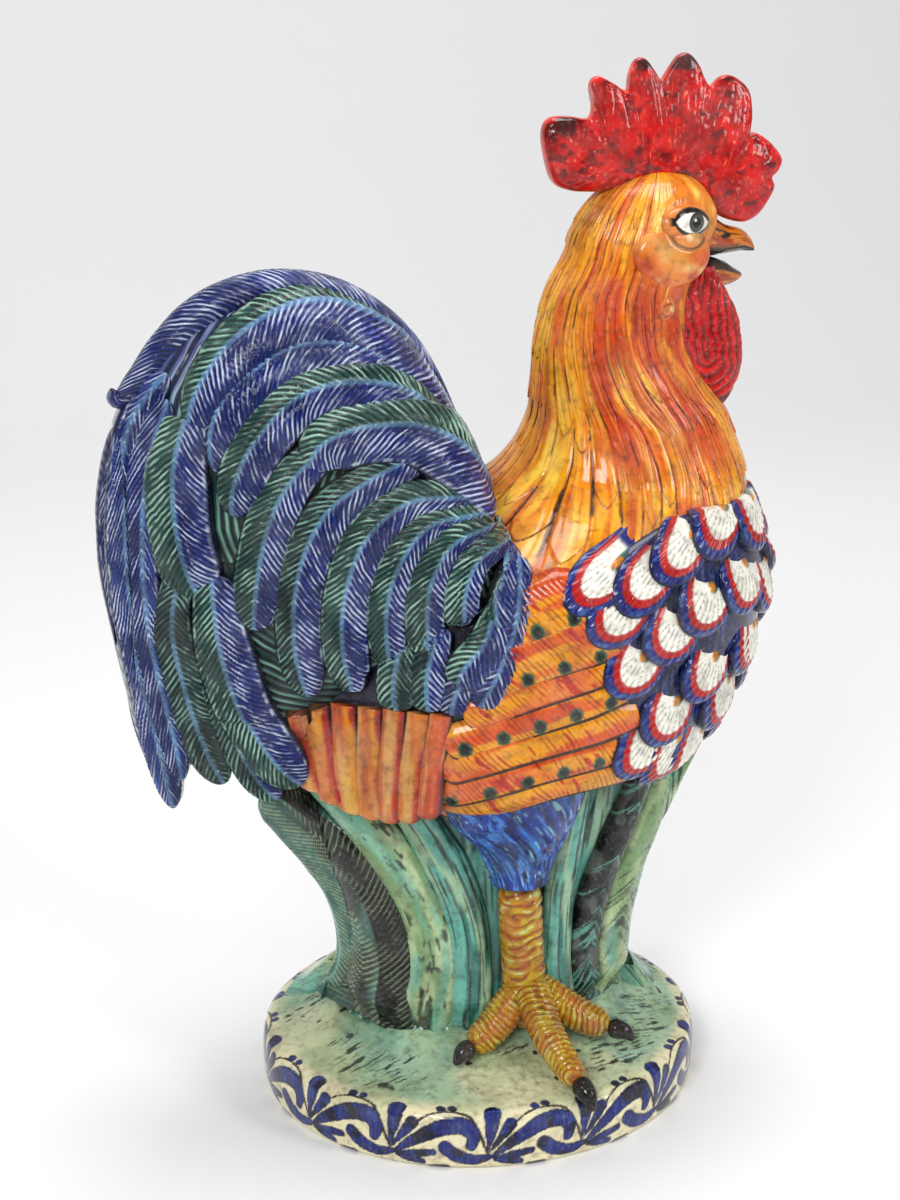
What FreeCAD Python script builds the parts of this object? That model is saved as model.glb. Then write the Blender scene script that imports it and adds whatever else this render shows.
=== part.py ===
import FreeCAD, Part
import math
import os

# Glazed, hand-painted clay rooster on an oval grassy base.
# Millimetres. The bird faces +X, its right side is -Y, +Z is up.
# The origin is the centre of the underside of the base.

os.makedirs("parts", exist_ok=True)
doc = FreeCAD.newDocument("clay_rooster")
sheet = doc.addObject("Spreadsheet::Sheet", "Dims")
V = FreeCAD.Vector

THIGH_DROP_SHARE = 0.72
BODY_FLOOR_READ_SHARE = 1.86
DECK_READ_SHARE = 0.49
HANGING_LEVEL_SHARE = 2.45

# The outline tables below hold shares of these named sizes. The curves of the tail,
# comb and fronds were read on a square grid laid over the figure: outline_grid is its pitch.
DIMENSIONS = (
    ("outline_grid", 100.0),
    ("base_length", 248.0),
    ("base_width", 226.0),
    ("base_rim_height", 34.0),
    ("deck_rise", 15.0),
    ("mound_rise", 24.0),
    ("reading_eye_x", -322.0),
    ("reading_eye_distance", 1122.0),
    ("reading_eye_height", 690.0),
    ("tail_reading_depth", 45.0),
    ("flank_reading_depth", 90.0),
    ("clay_wall", 8.0),
    ("tail_wall", 11.0),
    ("trunk_wall", 10.0),
    ("steam_hole", 24.0),
    ("floor_thickness", 9.0),
    ("vent_diameter", 5.0),
    ("vent_offset", 30.0),
    ("seat_gap", 0.2),
    ("trunk_foot_height", 40.0),
    ("trunk_length", 160.0),
    ("trunk_width", 84.0),
    ("frond_thickness", 11.0),
    ("body_floor_height", 186.0),
    ("belly_lap", 16.0),
    ("trunk_height", "=body_floor_height + belly_lap - trunk_foot_height"),
    ("reading_shift", "=body_floor_height - outline_grid * %g" % BODY_FLOOR_READ_SHARE),
    ("body_height", 162.0),
    ("body_length", 254.0),
    ("body_width", 190.0),
    ("neck_height", 119.0),
    ("neck_depth", 96.0),
    ("neck_width", 94.0),
    ("neck_bore", 62.0),
    ("head_length", 80.0),
    ("head_width", 70.0),
    ("head_height", 42.0),
    ("thigh_length", 74.0),
    ("thigh_top_depth", 86.0),
    ("thigh_top_width", 66.0),
    ("leg_spread", 47.0),
    ("leg_forward", 9.0),
    ("shank_diameter", 25.0),
    ("ankle_clearance", 0.72),
    ("shank_length", "=body_floor_height - thigh_length * %g - base_rim_height - deck_rise"
                     " - ankle_clearance" % THIGH_DROP_SHARE),
    ("toe_diameter", 20.0),
    ("claw_diameter", 13.0),
    ("feather_thickness", 9.0),
    ("crest_thickness", 12.0),
    ("wing_thickness", 8.0),
    ("plate_thickness", 5.0),
    ("scale_thickness", 5.0),
    ("scale_length", 25.0),
    ("comb_thickness", 21.0),
    ("wattle_thickness", 13.0),
    ("wattle_spread", 15.0),
    ("beak_width", 24.0),
    ("eye_length", 23.0),
    ("eye_height", 14.0),
    ("eye_thickness", 5.0),
)
for row, (alias, value) in enumerate(DIMENSIONS, start=1):
    sheet.set("A%d" % row, alias)
    sheet.set("B%d" % row, str(value))
    sheet.setAlias("B%d" % row, alias)
doc.recompute()

BASE_RING_SHARES = (
    (0.00, 0.965), (0.10, 0.990), (0.55, 1.000), (0.84, 0.992), (0.95, 0.970), (1.00, 0.930),
)
DECK_RING_SHARES = ((0.22, 0.800, 0.740), (0.60, 0.690, 0.570), (1.00, 0.640, 0.440))
FLOOR_SHARE = 0.965
BODY_WALL_SHARE = 1.4
NECK_BORE_SHARES = (0.76, 0.15, 0.70)
RIB_RISE_SHARES = (0.35, 0.65)
TIP_START_SHARE = 0.72
TRUNK_RING_SHARES = (
    (0.000, -0.02, 1.04, 1.28), (0.110, 0.01, 0.95, 1.06), (0.290, 0.04, 0.92, 0.88),
    (0.480, 0.05, 0.98, 0.86), (0.690, 0.05, 1.12, 0.93), (0.880, 0.04, 1.24, 1.00),
    (1.000, 0.03, 1.30, 1.04),
)
MOUND_SHARES = {
    "grass_mound_rear": (-0.29, 0.27, 0.14, 0.14),
    "grass_mound_front": (0.36, 0.10, 0.10, 0.16),
}
MOUND_NEIGHBOURS = {
    "grass_mound_rear": ("toes_left", "claws_left", "frond_rear_dark_left"),
    "grass_mound_front": ("toes_left", "frond_front_black_left", "frond_front_pale_left"),
}
EYE_SHARES = (1.10, -0.26, 4.82, 0.50, 0.50, 1.0, 34)
CHEEK_SHARES = (1.00, -0.27, 4.62, 1.02, 0.72, 1.9, 16)
EAR_LOBE_SHARES = (0.965, -0.30, 4.40, 0.66, 0.31, 1.1, 12)
BODY_RING_SHARES = (
    (0.000, 0.022, 0.520, 0.560), (0.062, 0.022, 0.765, 0.790), (0.160, 0.030, 0.914, 0.925),
    (0.321, 0.046, 1.006, 0.990), (0.506, 0.078, 1.027, 1.000), (0.679, 0.122, 0.966, 0.985),
    (0.815, 0.186, 0.800, 0.900), (0.914, 0.256, 0.650, 0.770), (1.000, 0.296, 0.551, 0.630),
)
NECK_RING_SHARES = (
    (0.000, 0.783, 1.458, 1.247), (0.118, 0.832, 1.270, 1.150), (0.269, 0.838, 1.130, 1.050),
    (0.437, 0.778, 0.960, 0.930), (0.622, 0.726, 0.830, 0.840), (0.815, 0.757, 0.780, 0.790),
    (1.000, 0.858, 0.760, 0.760),
)
HEAD_RING_SHARES = (
    (0.000, 1.030, 0.912, 1.04), (0.200, 1.066, 0.930, 1.01), (0.430, 1.106, 0.890, 0.95),
    (0.690, 1.136, 0.740, 0.80), (0.880, 1.160, 0.520, 0.56), (0.975, 1.170, 0.290, 0.30),
)
TAIL_RING_SHARES = (
    (-0.02, 3.36, 2.14, 0.80), (-0.16, 3.70, 2.11, 0.80), (-0.30, 4.01, 2.09, 0.78),
    (-0.50, 4.29, 2.07, 0.75), (-0.75, 4.49, 2.05, 0.70), (-1.00, 4.57, 2.03, 0.62),
    (-1.25, 4.55, 2.03, 0.53), (-1.50, 4.43, 2.04, 0.43), (-1.70, 4.24, 2.06, 0.33),
    (-1.86, 3.95, 2.22, 0.23), (-1.96, 3.55, 2.75, 0.12),
)


def size(name):
    """A named size from the sheet, as a plain number."""
    return float(sheet.get(name))


def read_height(share):
    """Height of a reading on the bird, which moves up and down with its body."""
    return share * size("outline_grid") + size("reading_shift")


def frond_height(share):
    """Height of a reading between the deck and the belly."""
    deck = size("base_rim_height") + size("deck_rise")
    up = (share - DECK_READ_SHARE) / (BODY_FLOOR_READ_SHARE - DECK_READ_SHARE)
    return deck + up * (size("body_floor_height") - deck)


def smooth(table, place, column):
    """Value of one column of a ring table at a place, along a smooth monotone curve."""
    places = [row[0] for row in table]
    values = [row[column] for row in table]
    if places[0] > places[-1]:
        places.reverse()
        values.reverse()
    if place <= places[0]:
        return values[0]
    if place >= places[-1]:
        return values[-1]
    k = 0
    while places[k + 1] < place:
        k += 1
    steps = [places[i + 1] - places[i] for i in range(len(places) - 1)]
    slopes = [(values[i + 1] - values[i]) / steps[i] for i in range(len(steps))]
    ends = []
    for i in (k, k + 1):
        if i == 0:
            ends.append(slopes[0])
        elif i == len(steps):
            ends.append(slopes[-1])
        elif slopes[i - 1] * slopes[i] <= 0:
            ends.append(0.0)
        else:
            ends.append(2 * slopes[i - 1] * slopes[i] / (slopes[i - 1] + slopes[i]))
    u = (place - places[k]) / steps[k]
    first = (1 + 2 * u) * (1 - u) ** 2 * values[k] + u * (1 - u) ** 2 * steps[k] * ends[0]
    return first + u * u * (3 - 2 * u) * values[k + 1] + u * u * (u - 1) * steps[k] * ends[1]


def half_chord(distance, half_length):
    """Height of a unit oval at a distance from its centre."""
    return math.sqrt(max(0.0, 1 - (distance / half_length) ** 2))


def body_side(x, z, skin=0.0):
    """Half-width of the body at a point of its side view, with a skin over it or without."""
    place = (z - size("body_floor_height")) / size("body_height")
    centre = smooth(BODY_RING_SHARES, place, 1) * size("body_length")
    reach = smooth(BODY_RING_SHARES, place, 2) * size("body_length") / 2 + skin
    width = smooth(BODY_RING_SHARES, place, 3) * size("body_width") / 2 + skin
    return width * half_chord(x - centre, reach)


def plate_side(x, z):
    """Half-width over the shoulder plate."""
    return body_side(x, z, size("plate_thickness"))


def tail_side(x, z):
    """Half-width of the tail core at a point of its side view."""
    grid = size("outline_grid")
    top = read_height(smooth(TAIL_RING_SHARES, x / grid, 1))
    bottom = read_height(smooth(TAIL_RING_SHARES, x / grid, 2))
    width = smooth(TAIL_RING_SHARES, x / grid, 3) * grid
    return width * half_chord(z - (top + bottom) / 2, (top - bottom) / 2)


def trunk_side(x, z):
    """Half-width of the trunk at a point of its side view."""
    place = (z - size("trunk_foot_height")) / size("trunk_height")
    centre = smooth(TRUNK_RING_SHARES, place, 1) * size("trunk_length")
    reach = smooth(TRUNK_RING_SHARES, place, 2) * size("trunk_length") / 2
    width = smooth(TRUNK_RING_SHARES, place, 3) * size("trunk_width") / 2
    return width * half_chord(x - centre, reach)


def flank_side(x, z):
    """Half-width of whichever stands further out, body or tail core."""
    return max(body_side(x, z), tail_side(x, z))


def smooth_path(points, count):
    """Evenly spread points along a smooth curve through the given 2-D points."""
    dense = []
    for k in range(len(points) - 1):
        before = points[max(k - 1, 0)]
        start = points[k]
        stop = points[k + 1]
        after = points[min(k + 2, len(points) - 1)]
        for i in range(12):
            u = i / 12
            dense.append(tuple(
                0.5 * (2 * b + (c - a) * u + (2 * a - 5 * b + 4 * c - d) * u ** 2
                       + (3 * b - 3 * c + d - a) * u ** 3)
                for a, b, c, d in zip(before, start, stop, after)))
    dense.append(tuple(points[-1]))
    runs = [0.0]
    for a, b in zip(dense, dense[1:]):
        runs.append(runs[-1] + math.dist(a, b))
    chosen = []
    for i in range(count):
        goal = runs[-1] * i / (count - 1)
        k = 0
        while k < len(runs) - 2 and runs[k + 1] < goal:
            k += 1
        u = (goal - runs[k]) / max(runs[k + 1] - runs[k], 1e-9)
        chosen.append(tuple(a + (b - a) * u for a, b in zip(dense[k], dense[k + 1])))
    return chosen


def set_all(thing, **bindings):
    """Bind properties of a document object to the sheet."""
    for key, expression in bindings.items():
        thing.setExpression(key.replace("__", "."), expression)


def oval(name, x, z, half_long, half_wide, y="0"):
    """A level oval section, its sizes bound to the sheet."""
    ring = doc.addObject("Part::Ellipse", name)
    set_all(ring, MajorRadius=half_long, MinorRadius=half_wide, Placement__Base__x=x,
            Placement__Base__y=y, Placement__Base__z=z)
    return ring


def loft(name, rings):
    """A closed loft through sections."""
    body = doc.addObject("Part::Loft", name)
    body.Sections = rings
    body.Solid = True
    body.Ruled = False
    body.MaxDegree = 3
    return body


def cut(name, base, tool):
    """One object less another."""
    result = doc.addObject("Part::Cut", name)
    result.Base = base
    result.Tool = tool
    return result


def mirror(name, source):
    """The same piece on the other side of the bird."""
    result = doc.addObject("Part::Mirroring", name)
    result.Source = source
    result.Normal = V(0, 1, 0)
    result.Label = name
    return result


def plain_feature(name, shape):
    """A free-form piece whose shape is worked out below from sheet sizes."""
    result = doc.addObject("Part::Feature", name)
    result.Shape = shape
    result.Label = name
    return result


def round_wire(points):
    """A smooth closed wire through points."""
    curve = Part.BSplineCurve()
    curve.interpolate(Points=points, PeriodicFlag=True)
    return Part.Wire([curve.toShape()])


def rib(path, halves, thickness, side, seat):
    """A domed strip laid on a curved side: its back is flat across, its front is an arc.

    path holds points (x, z) of the side view, halves the half-width at each. seat is the gap
    between the back and the side at the crown.
    """
    wires = []
    for k, (x, z) in enumerate(path):
        before = path[max(k - 1, 0)]
        after = path[min(k + 1, len(path) - 1)]
        run = math.dist(before, after)
        across = ((before[1] - after[1]) / run, (after[0] - before[0]) / run)
        half = halves[k]
        rise = thickness * (RIB_RISE_SHARES[0] + RIB_RISE_SHARES[1] * half / max(halves))
        corners = [(x + way * across[0] * half, z + way * across[1] * half) for way in (1, -1)]
        depths = [side(ex, ez) for ex, ez in corners]
        bulge = max(0.0, side(x, z) - (depths[0] + depths[1]) / 2)
        ends = [V(ex, -(deep + bulge + seat), ez) for (ex, ez), deep in zip(corners, depths)]
        top = V(x, (ends[0].y + ends[1].y) / 2 - rise, z)
        arc = Part.Arc(ends[0], top, ends[1]).toShape()
        back = Part.makeLine(ends[1], ends[0])
        wires.append(Part.Wire([arc, back]))
    return Part.makeLoft(wires, True, False, False, 3)


def feather_halves(width, count, root_share=0.50, tip_share=0.22, full_share=0.45):
    """Half-widths of a feather from its root to its rounded tip."""
    halves = []
    for i in range(count):
        u = i / (count - 1)
        grow = root_share + (1 - root_share) * min(1.0, u / full_share)
        end = max(0.0, (u - TIP_START_SHARE) / (1 - TIP_START_SHARE))
        close = tip_share + (1 - tip_share) * math.sqrt(max(0.0, 1 - end ** 2.4))
        halves.append(width / 2 * grow * close)
    return halves


def build_steam_hole():
    """Hole through deck and belly that joins the hollows, so that steam can leave in the kiln."""
    hole = doc.addObject("Part::Cylinder", "steam_hole_form")
    set_all(hole, Radius="Dims.steam_hole / 2",
            Height="Dims.trunk_height + Dims.trunk_foot_height", Placement__Base__z="Dims.clay_wall * 2",
            Placement__Base__x="Dims.trunk_length * %g" % TRUNK_RING_SHARES[2][1])
    return hole


def build_base(steam_hole):
    """Hollow oval base with a rounded rim and a domed grassy deck, and its floor slab."""
    outer = []
    for k, (up, reach) in enumerate(BASE_RING_SHARES):
        outer.append(oval("base_ring_%d" % k, "0", "Dims.base_rim_height * %g" % up,
                          "Dims.base_length / 2 * %g" % reach, "Dims.base_width / 2 * %g" % reach))
    for k, (up, long, wide) in enumerate(DECK_RING_SHARES):
        outer.append(oval("deck_ring_%d" % k, "0", "Dims.base_rim_height + Dims.deck_rise * %g" % up,
                          "Dims.base_length / 2 * %g" % long, "Dims.base_width / 2 * %g" % wide))
    block = loft("base_block", outer)
    inner = []
    for k, (up, reach) in enumerate(BASE_RING_SHARES[:4]):
        inner.append(oval("base_hollow_%d" % k, "0", "Dims.base_rim_height * %g" % up,
                          "Dims.base_length / 2 * %g - Dims.clay_wall" % reach,
                          "Dims.base_width / 2 * %g - Dims.clay_wall" % reach))
    hollow = loft("base_hollow", inner)
    cut("base_shell", cut("base_hollowed", block, hollow), steam_hole)
    half_long = "Dims.base_length / 2 * %g - Dims.clay_wall" % FLOOR_SHARE
    half_wide = "Dims.base_width / 2 * %g - Dims.clay_wall" % FLOOR_SHARE
    slab = loft("floor_slab", [oval("floor_low", "0", "0", half_long, half_wide),
                               oval("floor_high", "0", "Dims.floor_thickness", half_long, half_wide)])
    vent = doc.addObject("Part::Cylinder", "floor_vent")
    set_all(vent, Radius="Dims.vent_diameter / 2", Height="Dims.floor_thickness * 3",
            Placement__Base__x="Dims.vent_offset", Placement__Base__z="-Dims.floor_thickness")
    cut("base_floor", slab, vent)
    return block


def build_body(steam_hole, bore):
    """Hollow body between the trunk and the foot of the neck."""
    outer = []
    inner = []
    for k, (up, centre, long, wide) in enumerate(BODY_RING_SHARES):
        z = "Dims.body_floor_height + Dims.body_height * %g" % up
        x = "Dims.body_length * %g" % centre
        outer.append(oval("body_ring_%d" % k, x, z, "Dims.body_length / 2 * %g" % long,
                          "Dims.body_width / 2 * %g" % wide))
        if 0 < k < len(BODY_RING_SHARES) - 1:
            inner.append(oval("body_hollow_%d" % k, x, z,
                              "Dims.body_length / 2 * %g - Dims.clay_wall * %g" % (long, BODY_WALL_SHARE),
                              "Dims.body_width / 2 * %g - Dims.clay_wall * %g" % (wide, BODY_WALL_SHARE)))
    block = loft("body_block", outer)
    hollow = loft("body_hollow", inner)
    hollowed = cut("body_hollowed", block, hollow)
    cut("body_shell", cut("body_open_above", hollowed, bore), steam_hole)
    return block


def build_mounds(base_block, stem):
    """Two low grassy swellings on the far side of the deck, clear of the foot and the fronds."""
    for name, (x, y, long, wide) in MOUND_SHARES.items():
        lump = doc.addObject("Part::Ellipsoid", name + "_lump")
        set_all(lump, Radius2="Dims.base_length * %g" % long, Radius3="Dims.base_width * %g" % wide,
                Radius1="Dims.mound_rise", Placement__Base__x="Dims.base_length * %g" % x,
                Placement__Base__y="Dims.base_width * %g" % y,
                Placement__Base__z="Dims.base_rim_height")
        clear = cut(name + "_above_deck", lump, base_block)
        clear = cut(name + "_beside_trunk", clear, stem)
        for neighbour in MOUND_NEIGHBOURS[name][:-1]:
            clear = cut(name + "_beside_" + neighbour, clear, doc.getObject(neighbour))
        cut(name, clear, doc.getObject(MOUND_NEIGHBOURS[name][-1]))


def build_trunk(base_block, body_block):
    """Hollow oval stem of the frond clump, from the deck up to the belly."""
    rings = []
    inner = []
    for k, (up, centre, long, wide) in enumerate(TRUNK_RING_SHARES):
        x = "Dims.trunk_length * %g" % centre
        z = "Dims.trunk_foot_height + Dims.trunk_height * %g" % up
        half_long = "Dims.trunk_length / 2 * %g" % long
        half_wide = "Dims.trunk_width / 2 * %g" % wide
        rings.append(oval("trunk_ring_%d" % k, x, z, half_long, half_wide))
        overrun = {0: " - Dims.trunk_wall", len(TRUNK_RING_SHARES) - 1: " + Dims.trunk_wall"}
        inner.append(oval("trunk_hollow_%d" % k, x, z + overrun.get(k, ""),
                          half_long + " - Dims.trunk_wall", half_wide + " - Dims.trunk_wall"))
    stem = loft("trunk_block", rings)
    tube_wall = cut("trunk_hollowed", stem, loft("trunk_hollow", inner))
    above_deck = cut("trunk_above_deck", tube_wall, base_block)
    cut("support_trunk", above_deck, body_block)
    return stem


def build_neck_bore():
    """Bore that opens the neck into the hollow of the body."""
    centre, sunk, risen = NECK_BORE_SHARES
    bore = doc.addObject("Part::Cylinder", "neck_bore_form")
    set_all(bore, Radius="Dims.neck_bore / 2",
            Height="Dims.neck_height * %g + Dims.body_height * %g" % (risen, sunk),
            Placement__Base__x="Dims.neck_depth * %g" % centre,
            Placement__Base__z="Dims.body_floor_height + Dims.body_height * (1 - %g)" % sunk)
    return bore


def build_neck_and_head(bore):
    """Neck with a bore down to the body, and the closed head on top of it."""
    rings = []
    for k, (up, centre, long, wide) in enumerate(NECK_RING_SHARES):
        reach = "Dims.neck_depth / 2 * %g" % long
        rings.append(oval("neck_ring_%d" % k, "Dims.neck_depth * %g" % centre,
                          "Dims.body_floor_height + Dims.body_height + Dims.neck_height * %g" % up,
                          reach, "min(Dims.neck_width / 2 * %g; %s * 0.99)" % (wide, reach)))
    block = loft("neck_block", rings)
    cut("neck_shell", block, bore)
    rings = []
    for k, (up, centre, long, wide) in enumerate(HEAD_RING_SHARES):
        reach = "Dims.head_length / 2 * %g" % long
        rings.append(oval("head_ring_%d" % k, "Dims.head_length * %g" % centre,
                          "Dims.body_floor_height + Dims.body_height + Dims.neck_height"
                          " + Dims.head_height * %g" % up,
                          reach, "min(Dims.head_width / 2 * %g; %s * 0.99)" % (wide, reach)))
    return block, loft("head", rings)


def build_tail_core(body_block):
    """Thick hollow sickle-shaped core that carries the tail feathers."""
    solid = plain_feature("tail_block", tail_form(TAIL_RING_SHARES, 0.0))
    hollow = plain_feature("tail_hollow", tail_form(TAIL_RING_SHARES[3:9], size("tail_wall")))
    behind_body = cut("tail_behind_body", solid, body_block)
    cut("tail_core", behind_body, hollow)
    return solid


def tail_form(rows, wall):
    """Loft through upright oval sections of the tail, drawn in by a wall."""
    grid = size("outline_grid")
    wires = []
    for x, top, bottom, wide in rows:
        half_wide = wide * grid - wall
        half_high = (top - bottom) / 2 * grid - wall
        points = []
        for i in range(16):
            turn = 2 * math.pi * i / 16
            points.append(V(x * grid, half_wide * math.cos(turn),
                            read_height((top + bottom) / 2) + half_high * math.sin(turn)))
        wires.append(round_wire(points))
    return Part.makeLoft(wires, True, False, False, 3)


def laid(points, reading_depth, side):
    """Slides points read on a flat upright plane along the line of sight onto a curved side."""
    eye_x = size("reading_eye_x")
    eye_z = size("reading_eye_height") + size("reading_shift")
    away = size("reading_eye_distance")
    grid = size("outline_grid")
    result = []
    for point in points:
        x = point[0] * grid
        z = read_height(point[1])
        depth = reading_depth
        for _ in range(6):
            ratio = (away - depth) / (away - reading_depth)
            depth = (depth + side(eye_x + (x - eye_x) * ratio, eye_z + (z - eye_z) * ratio)) / 2
        ratio = (away - depth) / (away - reading_depth)
        result.append((eye_x + (x - eye_x) * ratio, eye_z + (z - eye_z) * ratio))
    return result


# Rachis paths of the tail feathers in the side view, root first, then the width.
CREST_SHARES = (
    (-0.08, 3.38), (-0.19, 3.76), (-0.41, 4.22), (-0.72, 4.49), (-1.06, 4.575), (-1.38, 4.51),
    (-1.63, 4.33), (-1.80, 4.13), (-1.90, 4.03),
)
UPPER_SICKLES = (
    (((-0.28, 3.90), (-0.50, 4.23), (-0.76, 4.44), (-1.00, 4.50), (-1.25, 4.39), (-1.43, 4.20),
      (-1.57, 4.00)), 0.185),
    (((-0.36, 3.84), (-0.54, 4.04), (-0.78, 4.23), (-1.02, 4.27), (-1.24, 4.16), (-1.38, 4.03),
      (-1.49, 3.88)), 0.165),
    (((-1.04, 4.02), (-1.14, 3.95), (-1.25, 3.82), (-1.34, 3.70), (-1.41, 3.58)), 0.19),
    (((-1.65, 3.84), (-1.655, 3.70), (-1.64, 3.50), (-1.60, 3.32), (-1.57, 3.16)), 0.24),
)
COVERTS = (
    (((-0.18, 3.56), (-0.33, 3.76), (-0.50, 3.91), (-0.75, 3.95), (-0.92, 3.89), (-1.00, 3.80)), 0.24),
    (((-1.12, 3.64), (-1.19, 3.55), (-1.25, 3.38), (-1.28, 3.18), (-1.28, 2.97)), 0.19),
    (((-0.46, 3.66), (-0.77, 3.56), (-0.95, 3.41), (-1.04, 3.18), (-1.06, 2.85), (-1.03, 2.56)), 0.19),
    (((-0.25, 3.50), (-0.52, 3.46), (-0.72, 3.28), (-0.80, 3.02), (-0.81, 2.75), (-0.78, 2.52)), 0.19),
    (((-0.19, 3.40), (-0.40, 3.32), (-0.55, 3.16), (-0.60, 2.95), (-0.59, 2.78), (-0.55, 2.66)), 0.15),
    (((-0.14, 3.28), (-0.28, 3.22), (-0.37, 3.11), (-0.39, 3.00), (-0.37, 2.88)), 0.15),
    (((-0.04, 3.22), (-0.12, 3.14), (-0.17, 3.04), (-0.17, 2.92), (-0.14, 2.82)), 0.14),
    (((0.03, 3.18), (0.04, 3.06), (0.04, 2.90), (0.02, 2.76)), 0.12),
    (((-0.19, 2.72), (-0.205, 2.66), (-0.22, 2.58), (-0.22, 2.50)), 0.14),
    (((-0.37, 2.78), (-0.375, 2.70), (-0.38, 2.60), (-0.38, 2.49)), 0.14),
    (((-0.56, 2.54), (-0.555, 2.50), (-0.55, 2.45), (-0.54, 2.40)), 0.14),
)
HANGING_SICKLES = (
    (((-1.55, 3.00), (-1.49, 2.84), (-1.38, 2.58), (-1.22, 2.30), (-1.04, 2.10)), 0.23),
    (((-1.74, 3.06), (-1.70, 2.84), (-1.66, 2.66), (-1.59, 2.44), (-1.48, 2.14)), 0.20),
    (((-1.41, 2.28), (-1.35, 2.18), (-1.28, 2.08), (-1.20, 2.00)), 0.10),
)
OUTER_STREAMERS = (
    (((-1.86, 3.98), (-1.93, 3.70), (-1.945, 3.25), (-1.90, 2.80), (-1.83, 2.40), (-1.76, 2.02)), 0.21),
)
SADDLE_SHARES = (
    (-1.13, 2.62, -1.07, 2.18), (-1.02, 2.65, -0.98, 2.10), (-0.91, 2.64, -0.89, 2.04),
    (-0.80, 2.62, -0.80, 2.00), (-0.69, 2.60, -0.71, 1.98), (-0.58, 2.57, -0.62, 1.97),
    (-0.47, 2.54, -0.53, 1.98),
)
WING_SHARES = (
    (((-0.42, 2.06), (0.10, 2.13), (0.63, 2.22)), 0.08),
    (((-0.42, 2.17), (0.08, 2.245), (0.55, 2.335)), 0.10),
    (((-0.40, 2.29), (0.05, 2.39), (0.46, 2.49)), 0.12),
    (((-0.27, 2.43), (0.10, 2.52), (0.36, 2.61)), 0.10),
    (((-0.14, 2.56), (0.12, 2.63), (0.31, 2.70)), 0.09),
    (((-0.12, 2.67), (0.12, 2.74), (0.31, 2.80)), 0.09),
    (((-0.06, 2.79), (0.12, 2.84), (0.27, 2.89)), 0.10),
    (((0.04, 2.93), (0.14, 2.965), (0.23, 3.00)), 0.11),
)
PATCH_SHARES = (
    (0.28, 3.18), (0.44, 3.26), (0.68, 3.36), (0.90, 3.42), (1.12, 3.40), (1.32, 3.34), (1.48, 3.22),
    (1.54, 3.06), (1.52, 2.86), (1.46, 2.66), (1.34, 2.46), (1.16, 2.26), (0.88, 2.12), (0.70, 2.16),
    (0.61, 2.30), (0.52, 2.47), (0.43, 2.58), (0.36, 2.70), (0.36, 2.82), (0.30, 2.96), (0.24, 3.10),
)
SCALE_SHARES = (
    (0.83, 3.40), (1.10, 3.24), (0.43, 3.27), (0.63, 3.20), (0.91, 3.09), (0.50, 3.04), (0.75, 2.94),
    (1.17, 2.90), (0.57, 2.77), (0.95, 2.73), (0.76, 2.50), (1.06, 2.50),
)
FRONDS = {
    "frond_rear_dark": (
        ((-1.20, 1.84), (-1.03, 1.67), (-0.79, 1.40), (-0.66, 1.10), (-0.63, 0.80), (-0.71, 0.53)), 0.28),
    "frond_rear_pale": (
        ((-0.96, 1.98), (-0.76, 1.78), (-0.54, 1.48), (-0.39, 1.14), (-0.35, 0.82), (-0.43, 0.53)), 0.22),
    "frond_rear_teal": (
        ((-0.58, 1.94), (-0.42, 1.70), (-0.27, 1.40), (-0.18, 1.10), (-0.16, 0.80), (-0.20, 0.53)), 0.20),
    "frond_front_teal": (
        ((0.46, 1.90), (0.41, 1.66), (0.36, 1.36), (0.335, 1.06), (0.325, 0.78), (0.33, 0.53)), 0.14),
    "frond_front_black": (
        ((0.88, 2.02), (0.77, 1.72), (0.63, 1.38), (0.53, 1.06), (0.49, 0.78), (0.52, 0.53)), 0.19),
    "frond_front_pale": (
        ((1.28, 2.00), (1.10, 1.72), (0.90, 1.36), (0.77, 1.06), (0.71, 0.78), (0.75, 0.53)), 0.23),
}


def build_group(name, feathers, thickness, side, reading_depth):
    """Feathers of one group as separate solids in one piece."""
    grid = size("outline_grid")
    solids = []
    for points, width in feathers:
        path = smooth_path(laid(points, reading_depth, side), 9)
        solids.append(rib(path, feather_halves(width * grid, 9), thickness, side, size("seat_gap")))
    return plain_feature(name, Part.makeCompound(solids))


def build_pair(name, *details):
    """A group of feathers on the right side and its mirror on the left side."""
    mirror(name + "_left", build_group(name + "_right", *details))


def hanging_side(x, z):
    """Side that the hanging feathers keep to where they run clear of the tail core."""
    grid = size("outline_grid")
    return tail_side(max(x, -1.88 * grid), max(z, read_height(HANGING_LEVEL_SHARE)))


def saddle_side(x, z):
    """Side that the saddle feathers keep to where they hang clear of the rump."""
    return flank_side(x, max(z, size("body_floor_height") + size("body_height") * 0.27))


def build_tail_feathers(core, crest):
    """Sickles, coverts and streamers on the tail core."""
    depth = size("tail_reading_depth")
    thick = size("feather_thickness")
    raw = build_group("upper_sickles_raw", UPPER_SICKLES, thick, tail_side, depth)
    under_crest = cut("upper_sickles_under_crest", raw, crest)
    mirror("tail_upper_sickles_left", cut("tail_upper_sickles_right", under_crest, core))
    coverts = build_group("coverts_raw", COVERTS, thick, flank_side, depth)
    mirror("tail_coverts_left", cut("tail_coverts_right", coverts, raw))
    build_pair("tail_hanging_sickles", HANGING_SICKLES, thick, hanging_side, depth)
    build_pair("tail_outer_streamer", OUTER_STREAMERS, thick, hanging_side, depth)


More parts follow.
